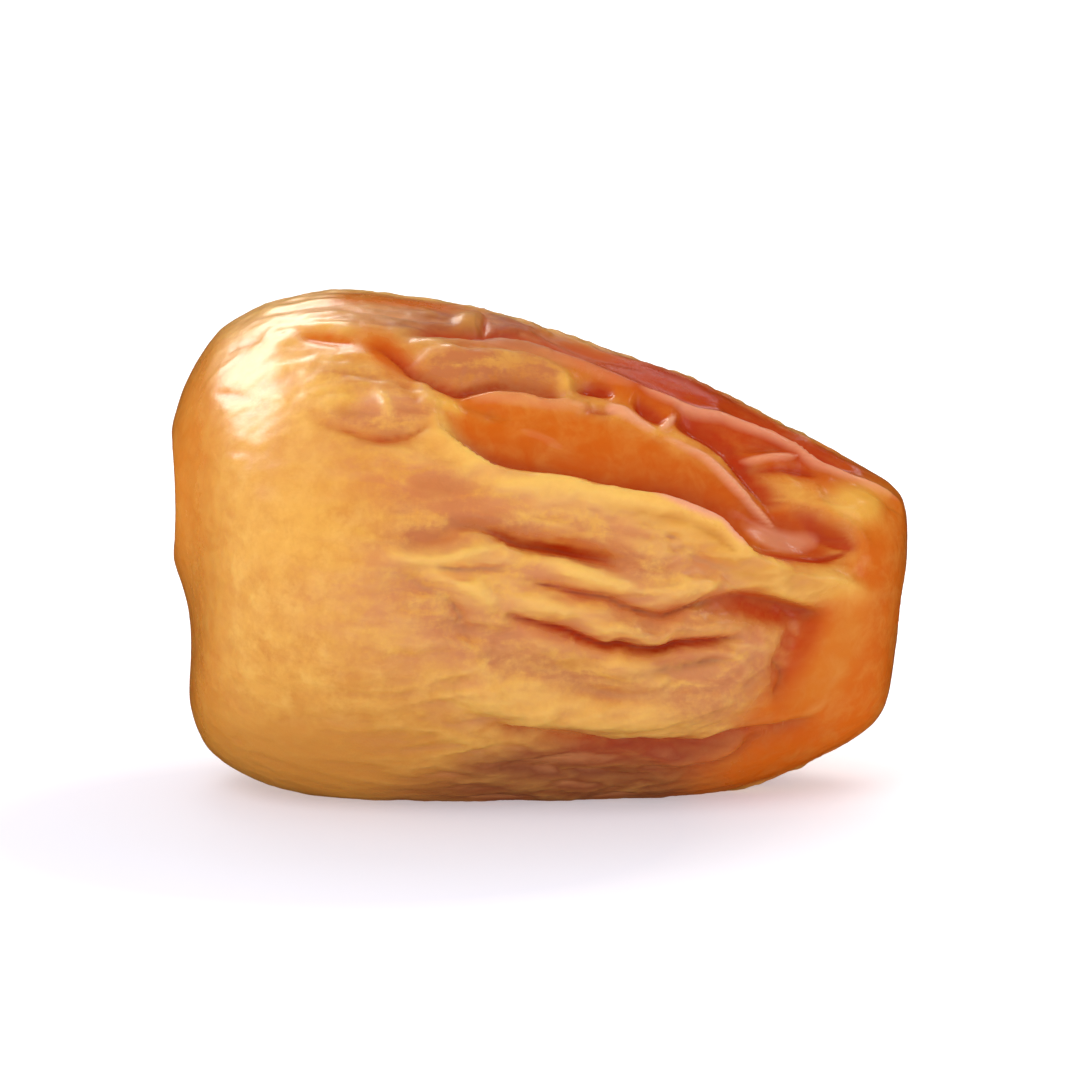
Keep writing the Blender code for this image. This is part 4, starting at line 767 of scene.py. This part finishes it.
def folded_skin(shape):
    """Points of the skin in metres, ring by ring, then calyx and tip, and their tints."""
    grid, half_depth, angle = bare_body(shape.rings, shape.around)
    ends = outline_line(UPPER_OUTLINE, np.array([0.0, 1.0]))
    calyx, tip = [np.array([x, 0.0, z]) for x, z in ends]
    normals = outward(grid, calyx, tip).reshape(-1, 3)
    points = grid.reshape(-1, 3)
    eye = np.array([0, -math.cos(shape.eye_elevation), math.sin(shape.eye_elevation)])
    facing = normals @ eye
    in_front = smooth_step(*FRONT_FADE, facing)
    behind = smooth_step(*BACK_FADE, -facing)

    upright = np.array([0, math.sin(shape.eye_elevation), math.cos(shape.eye_elevation)])
    seen_height = off_table(points) @ upright
    percent = (seen_height.max() - seen_height.min()) / 100
    front = np.column_stack([points[:, 0], seen_height - seen_height.min()])
    even = np.ones(len(points))
    rolled = np.column_stack([points[:, 0], np.tile(angle, shape.rings)])
    radius = np.repeat(half_depth, shape.around)

    relief = Relief(len(points))
    depth = np.zeros(len(points))
    for fold in FRONT_FOLDS.values():
        depth += relief.add(fold, percent, front, even, in_front)
    for fold in list(BACK_FOLDS.values()) + drawn_by_lot():
        depth += relief.add(fold, math.pi / 180, rolled, radius, behind, flipped=True)
    for patch in FRONT_BLUSHES.values():
        relief.add(patch, percent, front, even, in_front)
    for patch in BACK_BLUSHES.values():
        relief.add(patch, math.pi / 180, rolled, radius, behind, flipped=True)
    at_ends, dish = end_relief(points, calyx, tip)
    depth += at_ends

    skin = points - normals * depth[:, None]
    skin = np.vstack([skin, calyx + (CALYX_SCAR_DEPTH, 0, 0), tip - (TIP_SCAR_DEPTH, 0, 0)])
    marks = {name: np.append(mask, [0, 0]) for name, mask in relief.tints.items()}
    marks["sunk"] = np.append(depth, [CALYX_SCAR_DEPTH, TIP_SCAR_DEPTH])
    marks["scar"] = np.append(dish, [1, 0])
    along = 0.5 + points[:, 0] / LENGTH
    wet_tip = smooth_step(*TIP_AMBER, along) * (1 - smooth_step(*TIP_FACING, facing))
    # Painted shade: honey and amber darken the calyx end
    at_calyx = 1 - smooth_step(*CALYX_FADE, along)
    ambers = [relief.tints["amber"], wet_tip, CALYX_SHADE_AMBER * at_calyx]
    marks["amber"] = np.append(np.maximum.reduce(ambers), [CALYX_SHADE_AMBER, 1])
    marks["honey"] = np.append(np.maximum(relief.tints["honey"], CALYX_SHADE_HONEY * at_calyx), [1, 0])
    wet = np.maximum(marks["amber"][:-2], relief.tints["red"])
    shoulder = smooth_step(*SHOULDER_HEIGHT, seen_height / seen_height.max())
    risen = smooth_step(*CRINKLED_ALONG, along + SHOULDER_LEAD * shoulder)
    crinkled = CRINKLED_CALYX + (1 - CRINKLED_CALYX) * risen
    crinkled = crinkled * (1 - np.clip((1 - CRINKLED_WET) * wet, 0, 1))
    marks["crinkled"] = np.append(crinkled, [CRINKLED_CALYX, 0])
    return fitted(off_table(skin)), marks


def skin_faces(rings, around):
    """Quads between neighbouring rings, and a fan of triangles at each end."""
    faces = []
    calyx = rings * around
    tip = calyx + 1
    last = (rings - 1) * around
    for here in range(around):
        there = (here + 1) % around
        faces.append((calyx, here, there))
        faces.append((tip, last + there, last + here))
        for ring in range(0, last, around):
            faces.append((ring + here, ring + around + here, ring + around + there, ring + there))
    return faces


class Value:
    """A number of a node tree, which takes part in sums written as Python."""

    def __init__(self, tree, socket):
        self.tree = tree
        self.socket = socket

    def math(self, operation, *terms, clamp=False):
        values = dict(enumerate(terms))
        return self.tree.add("ShaderNodeMath", {"operation": operation, "use_clamp": clamp},
                             values).out(0)

    def __add__(self, other):
        return self.math("ADD", self, other)

    __radd__ = __add__

    def __sub__(self, other):
        return self.math("SUBTRACT", self, other)

    def __rsub__(self, other):
        return self.math("SUBTRACT", other, self)

    def __mul__(self, other):
        return self.math("MULTIPLY", self, other)

    __rmul__ = __mul__

    def __rtruediv__(self, other):
        return self.math("DIVIDE", other, self)

    def held(self):
        """The value kept between 0 and 1."""
        return self.math("ADD", self, 0.0, clamp=True)


class Step:
    """One node that has been added, with its outputs as values."""

    def __init__(self, tree, node):
        self.tree = tree
        self.node = node

    def out(self, key):
        return Value(self.tree, find_socket(self.node.outputs, key))


def find_socket(sockets, key):
    """A socket by its number, its identifier or its name."""
    if isinstance(key, int):
        return sockets[key]
    for socket in sockets:
        if socket.identifier == key:
            return socket
    return sockets[key]


class Tree:
    """A node tree, with one method that adds any node."""

    def __init__(self, nodes_of):
        self.tree = nodes_of

    def add(self, kind, settings, values):
        node = self.tree.nodes.new(kind)
        for name, setting in settings.items():
            setattr(node, name, setting)
        for key, value in values.items():
            self.feed(find_socket(node.inputs, key), value)
        return Step(self, node)

    def feed(self, socket, value):
        if isinstance(value, Value):
            self.tree.links.new(value.socket, socket)
        elif socket.type == "RGBA" and len(value) == 3:
            socket.default_value = (*value, 1.0)
        else:
            socket.default_value = value

    def mix(self, factor, first, second):
        """A colour between two others."""
        return self.add("ShaderNodeMix", {"data_type": "RGBA"},
                        {"Factor_Float": factor, "A_Color": first, "B_Color": second}
                        ).out("Result_Color")

    def attribute(self, name):
        return self.add("ShaderNodeAttribute", {"attribute_name": name}, {}).out("Fac")

    def noise(self, vector, scale, detail=3.0, roughness=0.5, distortion=0.0):
        return self.add("ShaderNodeTexNoise", {},
                        {"Vector": vector, "Scale": scale, "Detail": detail,
                         "Roughness": roughness, "Distortion": distortion}).out("Fac")

    def spread(self, value, low, high):
        """The value stretched so that low becomes 0 and high becomes 1."""
        return self.add("ShaderNodeMapRange", {"clamp": True},
                        {"Value": value, "From Min": low, "From Max": high}).out("Result")


def skin_finish(colours):
    """Date skin: mottled gold, with clear wet amber and red where it folds."""
    material = bpy.data.materials.new("date_skin_finish")
    material.use_nodes = True
    tree = Tree(material.node_tree)
    shader = material.node_tree.nodes["Principled BSDF"]

    place = tree.add("ShaderNodeTexCoord", {}, {}).out("Object")
    in_mm = tree.add("ShaderNodeMapping", {"vector_type": "POINT"},
                     {"Vector": place, "Scale": (1 / MM, 1 / MM, 1 / MM)}).out("Vector")
    streaked = tree.add("ShaderNodeMapping", {"vector_type": "POINT"},
                        {"Vector": place, "Scale": (0.35 / MM, 1 / MM, 1 / MM)}).out("Vector")

    # Grain of the skin, in spots to a millimetre
    broad = tree.noise(in_mm, 0.16, 3.0)
    mottle = tree.noise(in_mm, 0.7, 4.0, 0.6, 0.4)
    fleck = tree.noise(in_mm, 3.2, 4.0, 0.65)
    streak = tree.noise(streaked, 0.9, 4.0, 0.6, 0.6)

    amber = tree.attribute("amber")
    red = tree.attribute("red")
    brown = tree.attribute("brown")
    tan = tree.attribute("tan")
    pale = tree.attribute("pale")
    sunk = tree.attribute("sunk")
    scar = tree.attribute("scar")

    # Dry skin: honey flecks in the gold, bleached spots, then dull tan and brown
    honey_part = tree.spread(mottle * 0.6 + fleck * 0.2 + broad * 0.2, 0.42, 0.62)
    skin = tree.mix(honey_part * 0.85, colours.golden, colours.honey)
    bleached = tree.spread(tree.noise(in_mm, 0.9, 4.0, 0.65), 0.48, 0.68)
    skin = tree.mix(bleached * 0.45, skin, colours.pale)
    patchy = 0.3 + 1.2 * tree.spread(streak * 0.7 + fleck * 0.3, 0.4, 0.6)
    tan_part = (tan * patchy).held()
    skin = tree.mix(tan_part, skin, colours.tan)
    brown_part = (brown * (0.5 + streak)).held()
    skin = tree.mix(brown_part, skin, colours.brown)
    # Wet skin over it, then the folds' tints, partly painted highlight on crests and painted shade
    # in hollows
    amber_part = (amber * (0.5 + 0.9 * mottle)).held()
    skin = tree.mix(amber_part, skin, colours.amber)
    # Red of the folds: partly the redder flesh, partly painted shade in grooves and recesses
    red_part = (red * (0.75 + 0.5 * mottle)).held()
    skin = tree.mix(red_part, skin, colours.red)
    skin = tree.mix(tree.attribute("golden"), skin, colours.golden)
    # Pale crests: partly painted highlight where they catch the light
    pale_part = (pale * (0.6 + 0.7 * fleck)).held()
    skin = tree.mix(pale_part, skin, colours.pale)
    skin = tree.mix(tree.attribute("honey"), skin, colours.honey)
    # Painted shade: the deeper the fold, the redder and darker the skin
    depth_shade = tree.spread(sunk, 0.35, 1.6)
    skin = tree.mix(depth_shade * 0.4, skin, colours.red)
    # Painted highlight and shade on the crinkles: pale on their crests, tan in their valleys
    crest = tree.attribute("crest")
    crest_highlight_share = 1 - 0.7 * brown_part
    skin = tree.mix((crest * -0.9).held(), skin, colours.tan)
    skin = tree.mix((crest * crest_highlight_share * 0.65).held(), skin, colours.pale)
    # Painted sheen: peach on the wet crests, the lip and the pool
    skin = tree.mix(tree.spread(tree.attribute("peach"), 0.22, 0.85), skin, colours.peach)
    skin = tree.mix((scar * (fleck - 0.1)).held(), skin, colours.tan)
    scar_edge = scar * (1 - scar) * 4
    skin = tree.mix((scar_edge * (mottle + 0.1)).held(), skin, colours.brown)
    # Painted shade: rosy in hollows and under rolls
    skin = tree.mix((tree.attribute("shade") * patchy).held(), skin, colours.rosy)
    tree.feed(shader.inputs["Base Color"], skin)

    # Gloss: wet skin is smooth itself, and dry skin has a thin waxy coat
    wet = tree.add("ShaderNodeMath", {"operation": "MAXIMUM"}, {0: amber_part, 1: red_part}).out(0)
    roughness = 0.42 - 0.27 * wet + 0.12 * brown_part + 0.1 * (fleck - 0.5)
    tree.feed(shader.inputs["Roughness"], roughness.held())
    tree.feed(shader.inputs["Coat Weight"], (0.8 - 0.6 * wet - 0.4 * brown_part).held())
    shader.inputs["Coat Roughness"].default_value = 0.28
    shader.inputs["Coat IOR"].default_value = 1.6
    shader.inputs["Specular IOR Level"].default_value = 0.4
    shader.inputs["Subsurface Weight"].default_value = 0.15
    shader.inputs["Subsurface Radius"].default_value = (1.0, 0.35, 0.1)
    shader.inputs["Subsurface Scale"].default_value = 0.8 * MM
    shader.inputs["IOR"].default_value = 1.45

    height = 0.5 * mottle + 0.25 * fleck + 0.5 * streak * (1 - 0.5 * wet)
    bump = tree.add("ShaderNodeBump", {}, {"Strength": 0.5, "Distance": 0.12 * MM,
                                           "Height": height}).out("Normal")
    tree.feed(shader.inputs["Normal"], bump)
    return material


def crinkle_tree():
    """Geometry Nodes: small wrinkles pressed into the skin along its normals."""
    group = bpy.data.node_groups.new("Skin crinkles", "GeometryNodeTree")
    sockets = (("Skin", "NodeSocketGeometry"), ("Crinkle Size", "NodeSocketFloat"),
               ("Crinkle Depth", "NodeSocketFloat"), ("Fine Share", "NodeSocketFloat"),
               ("Seed", "NodeSocketInt"), ("Finish", "NodeSocketMaterial"))
    for name, kind in sockets:
        group.interface.new_socket(name, in_out="INPUT", socket_type=kind)
    group.interface.new_socket("Skin", in_out="OUTPUT", socket_type="NodeSocketGeometry")
    tree = Tree(group)
    given = tree.add("NodeGroupInput", {}, {})
    spot = tree.add("GeometryNodeInputPosition", {}, {}).out(0)
    normal = tree.add("GeometryNodeInputNormal", {}, {}).out(0)
    crinkled = tree.add("GeometryNodeInputNamedAttribute", {"data_type": "FLOAT"},
                        {"Name": "crinkled"}).out(0)
    lengthwise = tree.add("ShaderNodeVectorMath", {"operation": "MULTIPLY"},
                          {0: spot, 1: CRINKLE_DRAWN_OUT}).out(0)
    lift = 0.0
    fine = given.out("Fine Share")
    for share in (1.0, fine, fine * fine):
        swell = tree.add("ShaderNodeTexNoise", {"noise_dimensions": "4D"},
                         {"Vector": lengthwise, "W": given.out("Seed"),
                          "Scale": 1 / (given.out("Crinkle Size") * share), "Detail": 1.5,
                          "Roughness": 0.5, "Distortion": CRINKLE_BEND}).out(0)
        slope = swell * CRINKLE_STEEPNESS - CRINKLE_STEEPNESS / 2
        valley = swell.math("SMOOTH_MIN", swell.math("ABSOLUTE", slope), 1.0,
                            CRINKLE_SOFTNESS)
        lift = lift + (0.5 - valley) * share
    kept = tree.add("GeometryNodeStoreNamedAttribute", {"data_type": "FLOAT", "domain": "POINT"},
                    {"Geometry": given.out("Skin"), "Name": "crest", "Value": lift * crinkled}
                    ).out(0)
    lift = lift * crinkled * given.out("Crinkle Depth")
    offset = tree.add("ShaderNodeVectorMath", {"operation": "SCALE"},
                      {0: normal, "Scale": lift}).out(0)
    moved = tree.add("GeometryNodeSetPosition", {},
                     {"Geometry": kept, "Offset": offset}).out(0)
    whole = tree.add("GeometryNodeRealizeInstances", {}, {"Geometry": moved}).out(0)
    dressed = tree.add("GeometryNodeSetMaterial", {},
                       {"Geometry": whole, "Material": given.out("Finish")}).out(0)
    tree.add("NodeGroupOutput", {}, {"Skin": dressed})
    return group


def crinkle(skin, shape, finish):
    """Runs the crinkle nodes on the skin and keeps the result as its plain mesh."""
    group = crinkle_tree()
    modifier = skin.modifiers.new("crinkles", "NODES")
    modifier.node_group = group
    inputs = {"Crinkle Size": shape.crinkle_size, "Crinkle Depth": shape.crinkle_depth,
              "Fine Share": shape.fine_share, "Seed": shape.seed, "Finish": finish}
    for item in group.interface.items_tree:
        if item.in_out == "INPUT" and item.name in inputs:
            modifier[item.identifier] = inputs[item.name]
    graph = bpy.context.evaluated_depsgraph_get()
    plain = bpy.data.meshes.new_from_object(skin.evaluated_get(graph))
    skin.modifiers.remove(modifier)
    rough = skin.data
    skin.data = plain
    bpy.data.meshes.remove(rough)
    bpy.data.node_groups.remove(group)


class DATE_OT_skin(bpy.types.Operator):
    """Make the folded skin of the date in place of its plain solid"""

    bl_idname = "date.make_skin"
    bl_label = "Date Skin"

    def execute(self, context):
        shape = context.scene.date_shape
        finish = skin_finish(context.scene.date_colours)
        points, marks = folded_skin(shape)
        mesh = bpy.data.meshes.new("date_skin")
        mesh.from_pydata(points.tolist(), [], skin_faces(shape.rings, shape.around))
        if not mesh.polygons:
            raise RuntimeError("the skin has no faces")
        for name, mask in marks.items():
            mesh.attributes.new(name, "FLOAT", "POINT").data.foreach_set(
                "value", mask.astype(np.float32))
        skin = bpy.data.objects.new("date_skin", mesh)
        context.scene.collection.objects.link(skin)
        crinkle(skin, shape, finish)
        skin.data.name = "date_skin"
        skin.data.shade_smooth()
        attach(skin, "root")
        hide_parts("date")
        return {"FINISHED"}


def look_at(obj, target):
    """Turns a camera or a light towards a point."""
    obj.rotation_euler = (Vector(target) - obj.location).to_track_quat("-Z", "Y").to_euler()


def add_light(lamp, target, watts):
    """A rectangular light, which makes only glints, or only soft light with no glint."""
    area = bpy.data.lights.new(lamp.name, "AREA")
    area.shape = "RECTANGLE"
    area.size, area.size_y = lamp.size
    area.energy = watts
    area.color = lamp.shade
    light = bpy.data.objects.new(lamp.name, area)
    light.location = lamp.place
    light.visible_diffuse = not lamp.glint
    light.visible_glossy = lamp.glint
    bpy.context.scene.collection.objects.link(light)
    look_at(light, target)


def floor_paper(glow):
    """White paper that glows of itself, which lightens it and the date's underside, with a painted
    shadow that makes it greyer close to the date.
    """
    material = bpy.data.materials.new("floor_paper")
    material.use_nodes = True
    tree = Tree(material.node_tree)
    place = tree.add("ShaderNodeTexCoord", {}, {}).out("Object")
    away = tree.add("ShaderNodeVectorMath", {"operation": "DISTANCE"},
                    {0: place, 1: FLOOR_SHADOW_MIDDLE}).out("Value")
    # Painted shadow: grey near the date, white further out
    shade = tree.mix(tree.spread(away, FLOOR_GREY, FLOOR_WHITE), FLOOR_SHADOW_TONE, FLOOR_FAR)
    shader = material.node_tree.nodes["Principled BSDF"]
    tree.feed(shader.inputs["Base Color"], shade)
    shader.inputs["Roughness"].default_value = 0.7
    # The paper glows of itself, with no lamp behind it, to lighten its shadow and the date's
    # underside
    shader.inputs["Emission Color"].default_value = (1.0, 0.95, 1.0, 1.0)
    shader.inputs["Emission Strength"].default_value = glow
    return material


def make_floor(glow):
    """A wide floor that turns up gently far away, so that no horizon line shows."""
    profile = [(0.0, 0.0), (FLOOR_FLAT, 0.0)]
    for step in range(1, FLOOR_RINGS + 1):
        part = step / FLOOR_RINGS
        profile.append((FLOOR_FLAT + FLOOR_RISE_RUN * part, FLOOR_RISE * part * part))
    around = FLOOR_SIDES
    points = [(0.0, 0.0, 0.0)]
    faces = []
    for out, up in profile[1:]:
        for side in range(around):
            angle = 2 * math.pi * side / around
            points.append((out * math.cos(angle), out * math.sin(angle), up))
    for side in range(around):
        there = (side + 1) % around
        faces.append((0, 1 + side, 1 + there))
        for ring in range(len(profile) - 2):
            inner = 1 + ring * around
            outer = inner + around
            faces.append((inner + side, outer + side, outer + there, inner + there))
    mesh = bpy.data.meshes.new("floor")
    mesh.from_pydata(points, [], faces)
    mesh.materials.append(floor_paper(glow))
    mesh.shade_smooth()
    floor = bpy.data.objects.new("floor", mesh)
    bpy.context.scene.collection.objects.link(floor)
    floor.visible_glossy = False


class DATE_OT_stage(bpy.types.Operator):
    """Make the pale floor, the soft studio light and the camera"""

    bl_idname = "date.make_stage"
    bl_label = "Stage"

    def execute(self, context):
        scene = context.scene
        stage = scene.date_stage
        make_floor(stage.floor_glow)
        middle = (DATE_LOW + DATE_HIGH) / 2
        length = DATE_HIGH.x - DATE_LOW.x

        lens = bpy.data.cameras.new("camera")
        lens.sensor_width = 36.0
        lens.lens = lens.sensor_width * stage.distance * stage.frame_share / length
        lens.clip_start = 0.01
        camera = bpy.data.objects.new("camera", lens)
        elevation = scene.date_shape.eye_elevation
        camera.location = middle + stage.distance * Vector(
            (0, -math.cos(elevation), math.sin(elevation)))
        scene.collection.objects.link(camera)
        look_at(camera, middle)
        scene.camera = camera

        for setting, lamp in LAMPS.items():
            add_light(lamp, middle, getattr(stage, setting))

        world = bpy.data.worlds.new("studio")
        world.use_nodes = True
        sky = world.node_tree.nodes["Background"]
        sky.inputs["Color"].default_value = (1.0, 1.0, 1.0, 1.0)
        sky.inputs["Strength"].default_value = stage.sky
        scene.world = world
        world.cycles_visibility.glossy = False
        scene.view_settings.view_transform = "Standard"
        return {"FINISHED"}


class DATE_PT_panel(bpy.types.Panel):
    """Lists the sizes, the colours and the steps of the date"""

    bl_idname = "DATE_PT_panel"
    bl_label = "Sukkari Date"
    bl_space_type = "VIEW_3D"
    bl_region_type = "UI"
    bl_category = "Date"

    def draw(self, context):
        scene = context.scene
        for group, step in ((scene.date_shape, None), (scene.date_colours, DATE_OT_skin),
                            (scene.date_stage, DATE_OT_stage)):
            box = self.layout.box()
            for name in group.bl_rna.properties.keys():
                if name not in ("rna_type", "name"):
                    box.prop(group, name)
            if step:
                box.operator(step.bl_idname)


CLASSES = (DateShape, DateColours, DateStage, DATE_OT_skin, DATE_OT_stage, DATE_PT_panel)


def register():
    for cls in CLASSES:
        bpy.utils.register_class(cls)
    bpy.types.Scene.date_shape = PointerProperty(type=DateShape)
    bpy.types.Scene.date_colours = PointerProperty(type=DateColours)
    bpy.types.Scene.date_stage = PointerProperty(type=DateStage)


def unregister():
    del bpy.types.Scene.date_stage
    del bpy.types.Scene.date_colours
    del bpy.types.Scene.date_shape
    for cls in reversed(CLASSES):
        bpy.utils.unregister_class(cls)


def main():
    register()
    bpy.ops.date.make_skin()
    bpy.ops.date.make_stage()


if __name__ == "__main__":
    main()
